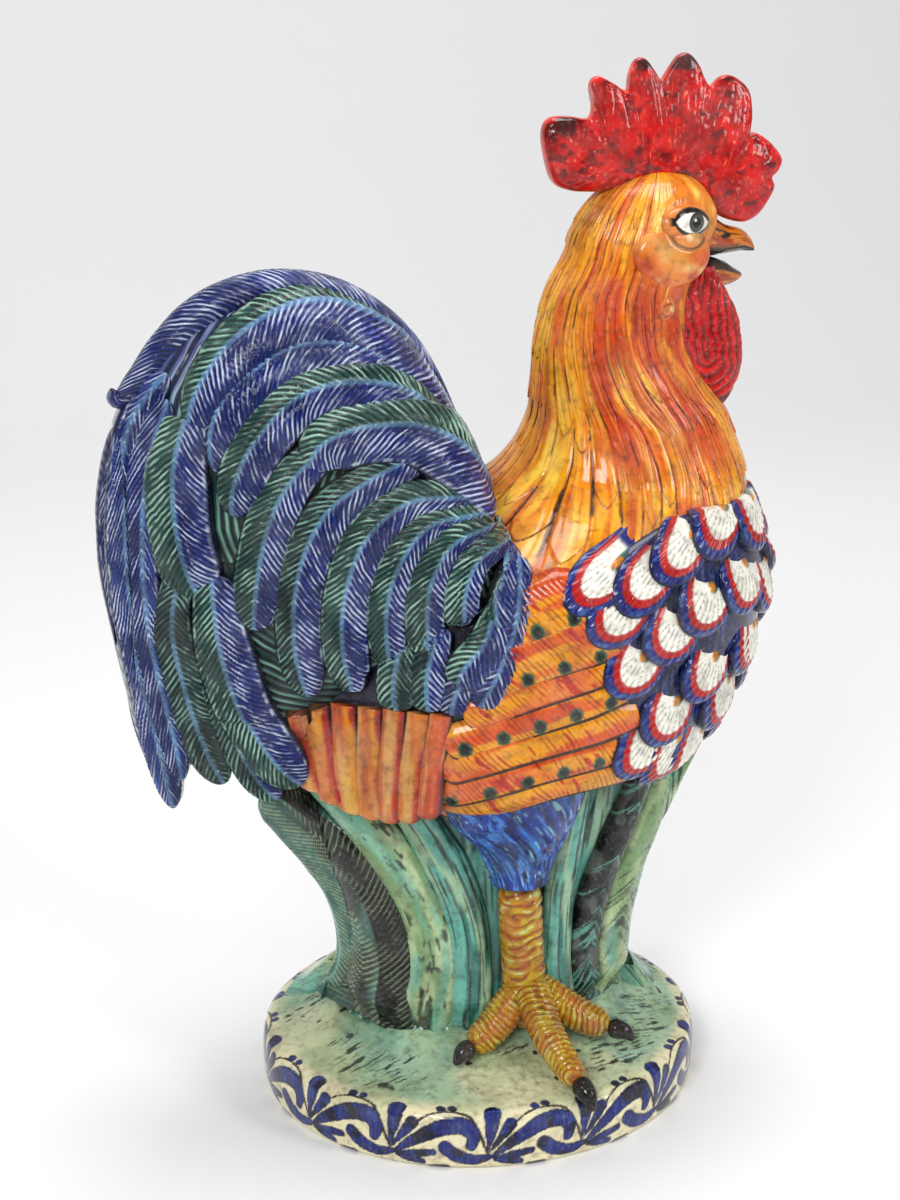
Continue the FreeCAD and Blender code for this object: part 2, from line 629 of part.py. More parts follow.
def build_crest_feather(core):
    """Long feather that rides over the top edge of the tail core."""
    grid = size("outline_grid")
    half = size("crest_thickness")
    path = smooth_path([(x * grid, read_height(z)) for x, z in CREST_SHARES], 12)
    wires = []
    for k, (x, z) in enumerate(path):
        before = path[max(k - 1, 0)]
        after = path[min(k + 1, len(path) - 1)]
        run = math.dist(before, after)
        across = ((before[1] - after[1]) / run, (after[0] - before[0]) / run)
        along = k / (len(path) - 1)
        wide = half * (0.8 + 0.6 * math.sin(math.pi * min(1.0, along * 1.15)))
        high = half * (0.75 - 0.45 * max(0.0, along - 0.8) / 0.2)
        points = []
        for i in range(12):
            turn = 2 * math.pi * i / 12
            reach = high * math.cos(turn)
            points.append(V(x + across[0] * reach, wide * math.sin(turn), z + across[1] * reach))
        wires.append(round_wire(points))
    solid = Part.makeLoft(wires, True, False, False, 3)
    raw = plain_feature("crest_raw", solid)
    return cut("tail_crest_feather", raw, core)


def build_saddle():
    """Seven upright saddle feathers on the rear of each flank."""
    feathers = []
    for top_x, top_z, low_x, low_z in SADDLE_SHARES:
        middle = ((top_x + low_x) / 2 - 0.01, (top_z + low_z) / 2)
        feathers.append((((top_x, top_z), middle, (low_x, low_z)), 0.088))
    build_pair("saddle_feathers", feathers, size("wing_thickness"), saddle_side,
               size("flank_reading_depth"))


def build_wing():
    """Long wing feathers that fan back from the shoulder plate."""
    feathers = [(points[::-1], width) for points, width in WING_SHARES]
    build_pair("wing_feathers", feathers, size("wing_thickness"), body_side,
               size("flank_reading_depth"))


def build_shoulder(body_block):
    """Raised shoulder plate on the body and the scale feathers on it."""
    skin_rings = []
    for k, (up, centre, long, wide) in enumerate(BODY_RING_SHARES[1:8]):
        skin_rings.append(oval("skin_ring_%d" % k, "Dims.body_length * %g" % centre,
                               "Dims.body_floor_height + Dims.body_height * %g" % up,
                               "Dims.body_length / 2 * %g + Dims.plate_thickness" % long,
                               "Dims.body_width / 2 * %g + Dims.plate_thickness" % wide))
    skin = loft("shoulder_skin", skin_rings)
    depth = size("flank_reading_depth")
    grid = size("outline_grid")
    outline = [V(x * grid, -size("clay_wall"), read_height(z)) for x, z in PATCH_SHARES]
    face = Part.Face(round_wire(outline))
    block = plain_feature("shoulder_prism", face.extrude(V(0, -size("body_width"), 0)))
    over = doc.addObject("Part::Common", "shoulder_over")
    over.Base = skin
    over.Tool = block
    plate = cut("shoulder_plate_right", over, body_block)
    mirror("shoulder_plate_left", plate)
    length = size("scale_length") / size("outline_grid")
    feathers = []
    for x, z in SCALE_SHARES:
        points = ((x + length * 0.30, z + length * 0.42), (x, z), (x - length * 0.26, z - length * 0.40))
        feathers.append((points, 0.205))
    build_pair("shoulder_scales", feathers, size("scale_thickness"), plate_side, depth)


def build_fronds(body_block, toes_raw):
    """Grass fronds that wrap the trunk and flare out under the body."""
    grid = size("outline_grid")
    for name, (points, width) in FRONDS.items():
        path = smooth_path([(x * grid, frond_height(z)) for x, z in points], 9)
        path.append((path[-1][0], size("base_rim_height") + size("deck_rise")))
        halves = feather_halves(width * grid, 10, 0.45, 0.60, 0.3)
        solid = rib(path, halves, size("frond_thickness"), trunk_side, size("seat_gap"))
        raw = plain_feature(name + "_raw", solid)
        if name == "frond_front_teal":
            raw = cut(name + "_beside_toes", raw, toes_raw)
        right = cut(name + "_right", raw, body_block)
        mirror(name + "_left", right)


def tube(path, radii):
    """A tapered round limb along a path of points."""
    wires = []
    for k, point in enumerate(path):
        before = path[max(k - 1, 0)]
        after = path[min(k + 1, len(path) - 1)]
        circle = Part.Circle(V(*point), V(*after) - V(*before), radii[k])
        wires.append(Part.Wire([circle.toShape()]))
    return Part.makeLoft(wires, True, False, False, 3)


SHANK_LEAN_SHARE = 0.06
TOE_GIRTH_SHARES = (1.05, 0.98, 0.84, 0.70)
CLAW_GIRTH_SHARES = (0.95, 0.72, 0.22)
# Toe and claw centre lines from the ankle, as shares of the outline grid.
TOES = (
    (((0, -0.02, 0.28), (0.03, -0.24, 0.09), (0.08, -0.42, -0.02), (0.12, -0.57, -0.08)),
     ((0.12, -0.57, -0.08), (0.15, -0.65, -0.12), (0.165, -0.69, -0.20))),
    (((0, 0, 0.24), (0.24, -0.11, 0.08), (0.42, -0.19, 0.00)),
     ((0.42, -0.19, 0.00), (0.49, -0.23, -0.01), (0.54, -0.26, -0.06))),
    (((0, 0, 0.24), (-0.20, -0.10, 0.07), (-0.37, -0.20, 0.00)),
     ((-0.37, -0.20, 0.00), (-0.43, -0.23, -0.01), (-0.48, -0.26, -0.06))),
)


def build_toe_forms():
    """Three spread toes and their claws, before they are trimmed by the shank and the fronds."""
    grid = size("outline_grid")
    base_z = size("body_floor_height") - size("thigh_length") * THIGH_DROP_SHARE - size("shank_length")
    start = (size("leg_forward") + size("shank_length") * SHANK_LEAN_SHARE, -size("leg_spread"), base_z)
    toes = []
    claws = []
    for toe, claw in TOES:
        path = [tuple(s + p * grid for s, p in zip(start, point)) for point in toe]
        toes.append(tube(path, [size("toe_diameter") / 2 * share for share in TOE_GIRTH_SHARES[:len(path)]]))
        path = [tuple(s + p * grid for s, p in zip(start, point)) for point in claw]
        claws.append(tube(path, [size("claw_diameter") / 2 * share for share in CLAW_GIRTH_SHARES]))
    return (plain_feature("toes_raw", toes[0].fuse(toes[1:])),
            plain_feature("claws_raw", Part.makeCompound(claws)))


def build_legs(trunk_block, body_block, toes_raw, claws_raw):
    """Feathered thighs, shanks, toes and claws."""
    lean = "Dims.leg_forward"
    spread = "-Dims.leg_spread"
    top = "Dims.body_floor_height + Dims.thigh_length * %g" % (1 - THIGH_DROP_SHARE)
    foot = "Dims.body_floor_height - Dims.thigh_length * %g" % THIGH_DROP_SHARE
    rings = [
        oval("thigh_ring_0", lean + " - Dims.thigh_top_depth * 0.06", top, "Dims.thigh_top_depth / 2",
             "Dims.thigh_top_width / 2", spread),
        oval("thigh_ring_1", lean + " - Dims.thigh_top_depth * 0.05",
             top + " - Dims.thigh_length * 0.36", "Dims.thigh_top_depth / 2 * 0.80",
             "Dims.thigh_top_width / 2 * 0.84", spread),
        oval("thigh_ring_2", lean, top + " - Dims.thigh_length * 0.72",
             "Dims.thigh_top_depth / 2 * 0.47", "Dims.thigh_top_width / 2 * 0.56", spread),
        oval("thigh_ring_3", lean, foot, "Dims.shank_diameter / 2 * 1.16",
             "Dims.shank_diameter / 2 * 1.12", spread)]
    raw = loft("thigh_raw", rings)
    free = cut("thigh_free", raw, trunk_block)
    right = cut("thigh_right", free, body_block)
    mirror("thigh_left", right)
    shank_rings = []
    for k, (down, wide) in enumerate(((0.0, 1.0), (0.3, 0.96), (0.7, 0.98), (1.0, 1.14))):
        forward = lean + " + Dims.shank_length * %g" % (down * SHANK_LEAN_SHARE)
        shank_rings.append(oval("shank_ring_%d" % k, forward, foot + " - Dims.shank_length * %g" % down,
                                "Dims.shank_diameter / 2 * %g" % wide,
                                "Dims.shank_diameter / 2 * %g" % (wide * 0.97), spread))
    shank_raw = loft("shank_raw", shank_rings)
    shank = cut("shank_right", shank_raw, trunk_block)
    mirror("shank_left", shank)
    toes_clear = cut("toes_clear", toes_raw, shank_raw)
    toes_right = cut("toes_right", toes_clear, doc.getObject("frond_rear_teal_right"))
    mirror("toes_left", toes_right)
    claws_right = cut("claws_right", claws_raw, toes_raw)
    mirror("claws_left", claws_right)


COMB_CENTRE_SHARES = (0.95, 5.20)
COMB_SHARES = (
    (0.58, 4.985), (0.46, 4.995), (0.37, 5.04), (0.325, 5.17), (0.31, 5.30), (0.35, 5.365), (0.45, 5.37),
    (0.56, 5.36), (0.575, 5.45), (0.56, 5.53), (0.60, 5.565), (0.68, 5.53), (0.755, 5.49), (0.77, 5.58),
    (0.80, 5.64), (0.85, 5.645), (0.90, 5.59), (0.94, 5.54), (0.985, 5.60), (1.03, 5.66), (1.085, 5.67),
    (1.14, 5.61), (1.175, 5.54), (1.21, 5.50), (1.27, 5.545), (1.34, 5.54), (1.42, 5.47), (1.44, 5.36),
    (1.43, 5.25), (1.475, 5.25), (1.55, 5.20), (1.62, 5.12), (1.60, 5.06), (1.565, 5.02), (1.58, 4.97),
    (1.55, 4.90), (1.50, 4.83), (1.44, 4.795), (1.38, 4.795), (1.30, 4.82), (1.24, 4.86), (1.20, 4.93),
    (1.10, 4.98), (1.00, 5.00), (0.85, 5.01), (0.72, 4.99),
)
WATTLE_SHARES = (
    (4.60, 1.15, 0.06, 0.50), (4.50, 1.135, 0.12, 0.80), (4.38, 1.15, 0.18, 0.95),
    (4.25, 1.165, 0.205, 1.00), (4.12, 1.185, 0.197, 1.00), (4.00, 1.205, 0.16, 0.92),
    (3.91, 1.22, 0.105, 0.75), (3.85, 1.23, 0.04, 0.45),
)
UPPER_BEAK_SHARES = (
    (1.10, 4.62, 4.85, 1.00), (1.22, 4.62, 4.84, 1.00), (1.32, 4.63, 4.785, 0.78),
    (1.41, 4.64, 4.755, 0.52), (1.47, 4.635, 4.70, 0.24), (1.49, 4.635, 4.66, 0.10),
)
LOWER_BEAK_SHARES = (
    (1.10, 4.49, 4.60, 0.88), (1.22, 4.49, 4.60, 0.86), (1.32, 4.49, 4.555, 0.60),
    (1.40, 4.485, 4.51, 0.16),
)


def build_comb(head):
    """Fleshy single comb: full outline at mid thickness, drawn in toward both faces."""
    grid = size("outline_grid")
    half = size("comb_thickness") / 2
    centre = (COMB_CENTRE_SHARES[0] * grid, read_height(COMB_CENTRE_SHARES[1]))
    wires = []
    for share, shrink in ((-1.0, 0.90), (-0.72, 0.965), (0.0, 1.0), (0.72, 0.965), (1.0, 0.90)):
        points = []
        for x, z in COMB_SHARES:
            points.append(V(centre[0] + (x * grid - centre[0]) * shrink, half * share,
                            centre[1] + (read_height(z) - centre[1]) * shrink))
        wires.append(Part.Wire(Part.makePolygon(points + [points[0]]).Edges))
    solid = Part.makeLoft(wires, True, True)
    raw = plain_feature("comb_raw", solid)
    cut("comb", raw, head)


def build_wattles(neck, head):
    """One pendent wattle on each side under the beak."""
    rings = []
    for k, (z, x, half_long, thick) in enumerate(WATTLE_SHARES):
        reach = "Dims.outline_grid * %g" % half_long
        rings.append(oval("wattle_ring_%d" % k, "Dims.outline_grid * %g" % x,
                          "Dims.outline_grid * %g + Dims.reading_shift" % z, reach,
                          "min(Dims.wattle_thickness / 2 * %g; %s * 0.99)" % (thick, reach),
                          "-Dims.wattle_spread"))
    raw = loft("wattle_raw", rings)
    clear = cut("wattle_clear", raw, head)
    right = cut("wattle_right", clear, neck)
    mirror("wattle_left", right)


def build_beak(head, neck):
    """Upper and lower beak, slightly open."""
    grid = size("outline_grid")
    half = size("beak_width") / 2
    for name, table in (("beak_upper", UPPER_BEAK_SHARES), ("beak_lower", LOWER_BEAK_SHARES)):
        wires = []
        for x, low, high, wide in table:
            points = []
            for i in range(12):
                turn = 2 * math.pi * i / 12
                points.append(V(x * grid, half * wide * math.sin(turn),
                                read_height((low + high) / 2 + (high - low) / 2 * math.cos(turn))))
            wires.append(round_wire(points))
        solid = Part.makeLoft(wires, True, False, False, 3)
        raw = plain_feature(name + "_raw", solid)
        clear = cut(name + "_clear", raw, head)
        cut(name, clear, neck)


def build_face(head, neck):
    """Eyes, cheek pouches and ear lobes."""
    eye = build_lump("eye", EYE_SHARES, head)
    mirror("eye_left", cut("eye_right", eye, neck))
    cheek = build_lump("cheek", CHEEK_SHARES, head)
    under = cut("cheek_under_eye", cheek, doc.getObject("eye_lump"))
    mirror("cheek_left", cut("cheek_right", under, neck))
    lobe = build_lump("ear_lobe", EAR_LOBE_SHARES, head)
    under = cut("ear_lobe_under_cheek", lobe, doc.getObject("cheek_lump"))
    mirror("ear_lobe_left", cut("ear_lobe_right", under, neck))


def build_lump(name, shares, head):
    """An oval swelling on the right side of the face, less the head."""
    x, y, z, high, long, thick, turn = shares
    lump = doc.addObject("Part::Ellipsoid", name + "_lump")
    set_all(lump, Radius1="Dims.eye_height * %g" % high, Radius2="Dims.eye_length * %g" % long,
            Radius3="Dims.eye_thickness * %g" % thick, Placement__Base__x="Dims.outline_grid * %g" % x,
            Placement__Base__y="Dims.outline_grid * %g" % y,
            Placement__Base__z="Dims.outline_grid * %g + Dims.reading_shift" % z)
    lump.Placement.Rotation = FreeCAD.Rotation(V(0, 0, 1), turn)
    return cut(name + "_clear", lump, head)


NODES = [
    "base_shell", "base_floor", "grass_mound_rear", "grass_mound_front", "support_trunk",
    "body_shell", "neck_shell", "head", "beak_upper", "beak_lower", "comb", "tail_core",
    "tail_crest_feather",
]
for pair in ("frond_rear_dark", "frond_rear_pale", "frond_rear_teal", "frond_front_teal",
             "frond_front_black", "frond_front_pale", "thigh", "shank", "toes", "claws",
             "saddle_feathers", "wing_feathers", "shoulder_plate", "shoulder_scales", "cheek",
             "ear_lobe", "eye", "wattle", "tail_upper_sickles", "tail_coverts",
             "tail_hanging_sickles", "tail_outer_streamer"):
    NODES.append(pair + "_right")
    NODES.append(pair + "_left")


def build_all():
    """Builds every piece, checks it and writes it out."""
    steam_hole = build_steam_hole()
    bore = build_neck_bore()
    base_block = build_base(steam_hole)
    body_block = build_body(steam_hole, bore)
    trunk_block = build_trunk(base_block, body_block)
    neck, head = build_neck_and_head(bore)
    tail = build_tail_core(body_block)
    crest = build_crest_feather(tail)
    build_tail_feathers(tail, crest)
    build_saddle()
    build_wing()
    build_shoulder(body_block)
    toes_raw, claws_raw = build_toe_forms()
    build_fronds(body_block, toes_raw)
    build_legs(trunk_block, body_block, toes_raw, claws_raw)
    build_mounds(base_block, trunk_block)
    build_comb(head)
    build_wattles(neck, head)
    build_beak(head, neck)
    build_face(head, neck)
    doc.recompute()
    faults = []
    for label in NODES:
        found = [thing for thing in doc.Objects if thing.Label == label]
        if len(found) != 1:
            faults.append("%d objects are labelled %s" % (len(found), label))
            continue
        thing = found[0]
        shape = thing.Shape
        if "Invalid" in thing.State or "Error" in thing.State:
            faults.append(label + " did not build")
        elif shape.isNull() or not shape.isValid() or not shape.Solids:
            faults.append(label + " has no valid solid")
        else:
            shape.exportStep(os.path.join("parts", label + ".step"))
    if faults:
        raise RuntimeError("; ".join(faults))


build_all()
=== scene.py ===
import math

import bpy
import numpy as np
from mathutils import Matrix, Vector


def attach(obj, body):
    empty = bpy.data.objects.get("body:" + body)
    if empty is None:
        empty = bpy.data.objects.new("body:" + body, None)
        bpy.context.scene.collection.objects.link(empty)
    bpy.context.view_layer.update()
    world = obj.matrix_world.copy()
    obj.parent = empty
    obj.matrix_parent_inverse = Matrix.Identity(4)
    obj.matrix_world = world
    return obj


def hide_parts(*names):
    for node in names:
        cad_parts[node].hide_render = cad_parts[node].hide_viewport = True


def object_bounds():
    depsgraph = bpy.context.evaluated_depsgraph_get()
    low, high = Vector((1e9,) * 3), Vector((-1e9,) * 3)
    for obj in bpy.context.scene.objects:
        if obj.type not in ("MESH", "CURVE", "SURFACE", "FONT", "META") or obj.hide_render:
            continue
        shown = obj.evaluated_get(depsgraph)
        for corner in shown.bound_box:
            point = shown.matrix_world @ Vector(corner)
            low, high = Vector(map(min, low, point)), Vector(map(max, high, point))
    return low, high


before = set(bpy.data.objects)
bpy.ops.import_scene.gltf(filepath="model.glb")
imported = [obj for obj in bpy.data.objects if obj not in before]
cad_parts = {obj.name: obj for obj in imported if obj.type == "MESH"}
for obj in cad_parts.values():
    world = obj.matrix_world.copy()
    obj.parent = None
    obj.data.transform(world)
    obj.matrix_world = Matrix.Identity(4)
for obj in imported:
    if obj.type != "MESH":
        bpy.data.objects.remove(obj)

# Looks of a glazed, hand-painted clay rooster. Tables are in millimetres, the meshes in metres.
# The bird faces +X, its right side is -Y. The left side is the mirror image of the right.

CAD_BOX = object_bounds()
MM = 0.001
BOX_MARGIN = 0.0002
PI = math.pi


# Small tools

def colour(text):
    """Linear RGB of a hex colour."""
    parts = np.array([int(text[i:i + 2], 16) / 255 for i in (0, 2, 4)])
    return np.where(parts <= 0.04045, parts / 12.92, ((parts + 0.055) / 1.055) ** 2.4)


def part_of(x, low, high):
    """Straight step from 0 at low to 1 at high."""
    return np.clip((x - low) / (high - low), 0, 1)


def ramp(x, low, high):
    """Smooth step from 0 at low to 1 at high."""
    u = part_of(x, low, high)
    return u * u * (3 - 2 * u)


def arc(x, least=0.0, power=2):
    """Round arch: 1 in the middle, down to the root of the least value at the ends."""
    return np.sqrt(np.clip(1 - x ** power, least, 1))


def bell(x, width):
    """Bump of height 1 round 0."""
    return np.exp(-(x / width) ** 2)


def saw(x):
    """Zigzag: 1 at whole numbers, 0 halfway between them."""
    return np.abs(x % 1 * 2 - 1)


def eased(count, bend):
    """Places from -1 to 1 that lie closer together near both ends."""
    return np.sin(np.linspace(-PI / 2, PI / 2, count)) * bend + np.linspace(-1, 1, count) * (1 - bend)


def spun(first, count):
    """Grid of a run of values by a full turn."""
    return np.meshgrid(first, np.linspace(0, 2 * PI, count, endpoint=False), indexing="ij")


def mixed(a, b, share):
    """Blend of two colours, or arrays of colours, by a share per point."""
    share = np.asarray(share)[..., None]
    return a * (1 - share) + b * share


def lattice(ix, iy, iz, seed):
    """Repeatable value from 0 to 1 at whole-number places."""
    n = (ix.astype(np.int64) * 73856093) ^ (iy.astype(np.int64) * 19349663)
    n = (n ^ (iz.astype(np.int64) * 83492791) ^ (seed * 2654435761)) & 0xFFFFFFFF
    n = ((n ^ (n >> 15)) * 2246822519) & 0xFFFFFFFF
    n = ((n ^ (n >> 13)) * 3266489917) & 0xFFFFFFFF
    return (n ^ (n >> 16)) / 4294967295.0


def noise(x, y=0.0, z=0.0, seed=1):
    """Smooth value noise from 0 to 1."""
    x, y, z = np.broadcast_arrays(np.asarray(x, float), np.asarray(y, float), np.asarray(z, float))
    fx, fy, fz = np.floor(x), np.floor(y), np.floor(z)
    u, v, w = x - fx, y - fy, z - fz
    u, v, w = u * u * (3 - 2 * u), v * v * (3 - 2 * v), w * w * (3 - 2 * w)
    total = 0
    for i in (0, 1):
        for j in (0, 1):
            for k in (0, 1):
                share = (u if i else 1 - u) * (v if j else 1 - v) * (w if k else 1 - w)
                total = total + share * lattice(fx + i, fy + j, fz + k, seed)
    return total


def cloud(x, y=0.0, z=0.0, seed=1, octaves=3):
    """Sum of finer and finer noise, from 0 to 1."""
    total, weight, scale = 0, 0, 1.0
    for k in range(octaves):
        total = total + noise(x * scale, y * scale, z * scale, seed + k) / scale
        weight += 1 / scale
        scale *= 2
    return total / weight


class Table:
    """Smooth monotone curve through rows of numbers."""

    def __init__(self, rows):
        rows = np.array(sorted(rows), float)
        self.x, self.y = rows[:, 0], rows[:, 1:]
        step = np.diff(self.x)[:, None]
        slope = np.diff(self.y, axis=0) / step
        inner = np.where(slope[:-1] * slope[1:] > 0,
                         2 * slope[:-1] * slope[1:] / np.where(slope[:-1] + slope[1:] == 0, 1,
                                                               slope[:-1] + slope[1:]), 0)
        self.m = np.vstack([slope[:1], inner, slope[-1:]])

    def __call__(self, x):
        x = np.clip(np.asarray(x, float), self.x[0], self.x[-1])
        k = np.clip(np.searchsorted(self.x, x) - 1, 0, len(self.x) - 2)
        h = self.x[k + 1] - self.x[k]
        u = ((x - self.x[k]) / h)[..., None]
        h = h[..., None]
        return ((1 + 2 * u) * (1 - u) ** 2 * self.y[k] + u * (1 - u) ** 2 * h * self.m[k]
                + u * u * (3 - 2 * u) * self.y[k + 1] + u * u * (u - 1) * h * self.m[k + 1])


def curve(points, step):
    """Evenly spaced points along a smooth curve through the given points."""
    pts = np.array(points, float)
    dense = []
    for k in range(len(pts) - 1):
        a, b = pts[max(k - 1, 0)], pts[k]
        c, d = pts[k + 1], pts[min(k + 2, len(pts) - 1)]
        for u in np.arange(24) / 24:
            dense.append(0.5 * (2 * b + (c - a) * u + (2 * a - 5 * b + 4 * c - d) * u ** 2
                                + (3 * b - 3 * c + d - a) * u ** 3))
    dense = np.array(dense + [pts[-1]])
    run = np.concatenate([[0], np.cumsum(np.linalg.norm(np.diff(dense, axis=0), axis=1))])
    goal = np.linspace(0, run[-1], max(3, int(run[-1] / step) + 1))
    return np.stack([np.interp(goal, run, column) for column in dense.T], 1), goal


def headings(line):
    """Unit direction at each point of a line."""
    ahead = np.gradient(line, axis=0)
    return ahead / np.linalg.norm(ahead, axis=1)[:, None]


# Materials

class Val:
    """A node output that can be used in sums."""

    def __init__(self, graph, socket):
        self.g, self.s = graph, socket

    def op(self, kind, *others):
        return self.g.math(kind, self, *others)

    def __add__(self, o): return self.op("ADD", o)
    def __sub__(self, o): return self.op("SUBTRACT", o)
    def __rsub__(self, o): return self.g.math("SUBTRACT", o, self)
    def __mul__(self, o): return self.op("MULTIPLY", o)
    def abs(self): return self.op("ABSOLUTE")
    def fract(self): return self.op("FRACT")


class Graph:
    """Short way to write a material's nodes."""

    def __init__(self, name, roughness=0.16, coat=0.25):
        self.mat = bpy.data.materials.new(name)
        self.mat.use_nodes = True
        self.tree = self.mat.node_tree
        self.shader = self.tree.nodes["Principled BSDF"]
        for key, value in (("Roughness", roughness), ("Coat Weight", coat), ("Specular IOR Level", 0.22),
                           ("Coat Roughness", 0.025), ("Coat IOR", 1.5)):
            self.shader.inputs[key].default_value = value

    def node(self, kind, **props):
        made = self.tree.nodes.new(kind)
        for key, value in props.items():
            setattr(made, key, value)
        return made

    def put(self, socket, value):
        if isinstance(value, Val):
            self.tree.links.new(value.s, socket)
        elif isinstance(value, (tuple, list, np.ndarray)):
            value = [float(v) for v in value]
            if len(socket.default_value) == 4 and len(value) == 3:
                value = value + [1.0]
            socket.default_value = value
        else:
            socket.default_value = float(value)

    def math(self, kind, *values):
        made = self.node("ShaderNodeMath", operation=kind)
        for k, value in enumerate(values):
            self.put(made.inputs[k], value)
        return Val(self, made.outputs[0])

    def attr(self, name, colour=False):
        made = self.node("ShaderNodeAttribute", attribute_name=name)
        return Val(self, made.outputs["Color" if colour else "Fac"])

    def xyz(self, x, y, z):
        made = self.node("ShaderNodeCombineXYZ")
        for k, value in enumerate((x, y, z)):
            self.put(made.inputs[k], value)
        return Val(self, made.outputs[0])

    def place(self):
        return Val(self, self.node("ShaderNodeTexCoord").outputs["Object"])

    def noise(self, where, scale=1.0, detail=2.0, rough=0.5):
        made = self.node("ShaderNodeTexNoise")
        self.put(made.inputs["Vector"], where)
        self.put(made.inputs["Scale"], scale)
        self.put(made.inputs["Detail"], detail)
        self.put(made.inputs["Roughness"], rough)
        return Val(self, made.outputs["Fac"])

    def ramp(self, value, low, high, start=0.0, stop=1.0):
        made = self.node("ShaderNodeMapRange", interpolation_type="SMOOTHSTEP")
        for key, v in zip(("Value", "From Min", "From Max", "To Min", "To Max"),
                          (value, low, high, start, stop)):
            self.put(made.inputs[key], v)
        return Val(self, made.outputs[0])

    def mix(self, share, a, b, blend="MIX"):
        made = self.node("ShaderNodeMix", data_type="RGBA", blend_type=blend)
        self.put(made.inputs[0], share)
        self.put(made.inputs[6], a)
        self.put(made.inputs[7], b)
        return Val(self, made.outputs[2])

    def finish(self, base, height=None, strength=0.25, depth=0.0006):
        """Colour with the slight unevenness of brushed glaze, soft waves and a rough-smooth play."""
        place = self.place()
        blotch = self.noise(place, 55.0, 3.0)
        speck = self.noise(place, 900.0, 1.0)
        base = self.mix(self.ramp(blotch, 0.3, 0.75, 0.0, 0.04), base, (0.92, 0.9, 0.86))
        base = self.mix(self.ramp(speck, 0.68, 0.8, 0.0, 0.35), base, (0.06, 0.05, 0.05), "MULTIPLY")
        self.put(self.shader.inputs["Base Color"], base)
        self.put(self.shader.inputs["Roughness"], self.ramp(blotch, 0.3, 0.7, 0.07, 0.17))
        waves = self.noise(place, 110.0, 2.0) * 0.6
        height = waves if height is None else waves + height
        bump = self.node("ShaderNodeBump")
        self.put(bump.inputs["Strength"], strength)
        self.put(bump.inputs["Distance"], depth)
        self.put(bump.inputs["Height"], height)
        self.tree.links.new(bump.outputs[0], self.shader.inputs["Normal"])
        return self.mat


PIGMENT_DEPTH = 1.35


def painted_material(name):
    """Glaze whose pigment comes from the colour laid on each point."""
    g = Graph(name)
    depth = g.node("ShaderNodeGamma")
    g.put(depth.inputs[0], g.attr("pigment", True))
    g.put(depth.inputs[1], PIGMENT_DEPTH)
    place = g.place()
    fine = g.noise(place, 420.0, 3.0)
    base = g.mix(g.ramp(fine, 0.50, 0.85, 0.0, 0.10), Val(g, depth.outputs[0]), (0.9, 0.86, 0.75))
    pool = g.ramp(g.noise(place, 45.0, 4.0, 0.6), 0.46, 0.66, 0.0, 0.38)
    base = g.mix(pool, base, (0.42, 0.36, 0.34), "MULTIPLY")
    grain = g.ramp(g.noise(place, 230.0, 2.0), 0.45, 0.8, 0.0, 0.6)
    return g.finish(g.mix(grain, base, (0.30, 0.26, 0.26), "MULTIPLY"), fine * 0.3)


def feather_material(name):
    """Carved barbs: dark in the cuts, pigment on the flanks, pale on the ridge tops as dry brushwork and
    painted highlight.
    """
    g = Graph(name)
    phase, cross, along, seed = (g.attr(k) for k in ("phase", "cross", "along", "seed"))
    wander = g.noise(g.xyz(along * 0.07, cross * 0.10, seed), 1.0, 2.0)
    beat = (phase + wander * 1.1).fract()
    ridge = 1.0 - (beat * 2.0 - 1.0).abs()
    run = g.noise(g.xyz(phase * 0.8 + wander * 1.1, cross * 0.13, seed), 1.0, 3.0, 0.6)
    patch = g.noise(g.xyz(along * 0.05, cross * 0.08, seed * 3.1), 1.0, 2.0)
    # dry: pale streaks on the ridge tops, partly dry brushwork and partly painted highlight
    dry = g.ramp(run + patch * 0.7, 0.78, 1.00) * g.ramp(ridge, 0.45, 0.85)
    base = g.mix(g.ramp(patch, 0.35, 0.7, 0.55, 0.0), g.attr("ink", True), g.attr("deep", True))
    base = g.mix(dry * 0.9, base, g.attr("pale", True))
    base = g.mix(g.ramp(ridge, 0.10, 0.50, 0.97, 0.0), base, g.attr("deep", True))
    line = g.ramp(g.attr("quill").abs(), 0.5, 1.6, 1.0, 0.0)
    base = g.mix(line * g.ramp(patch, 0.35, 0.6, 0.25, 0.65), base, colour("6C9CC4"))
    rim = g.attr("edge")
    broken = g.ramp(g.noise(g.xyz(along * 0.12, seed, 0.0)), 0.45, 0.65, 0.0, 0.8)
    # Broken pale line just inside the edge: a painted edge highlight.
    base = g.mix(g.ramp(rim, 0.78, 0.85) * broken, base, g.attr("pale", True))
    base = g.mix(g.ramp(rim, 0.85, 0.94), base, g.attr("deep", True))
    return g.finish(base, ridge * 0.9 + run * 0.5, 0.85, 0.0010)


def clay_material():
    """Unglazed underside."""
    g = Graph("bare_clay", 0.8, 0.0)
    grain = g.noise(g.place(), 300.0, 4.0)
    g.finish(g.mix(grain, colour("C9A27C"), colour("E0C4A0")), grain, 0.3)
    g.put(g.shader.inputs["Roughness"], g.ramp(grain, 0.2, 0.8, 0.7, 0.9))
    return g.mat


# Meshes

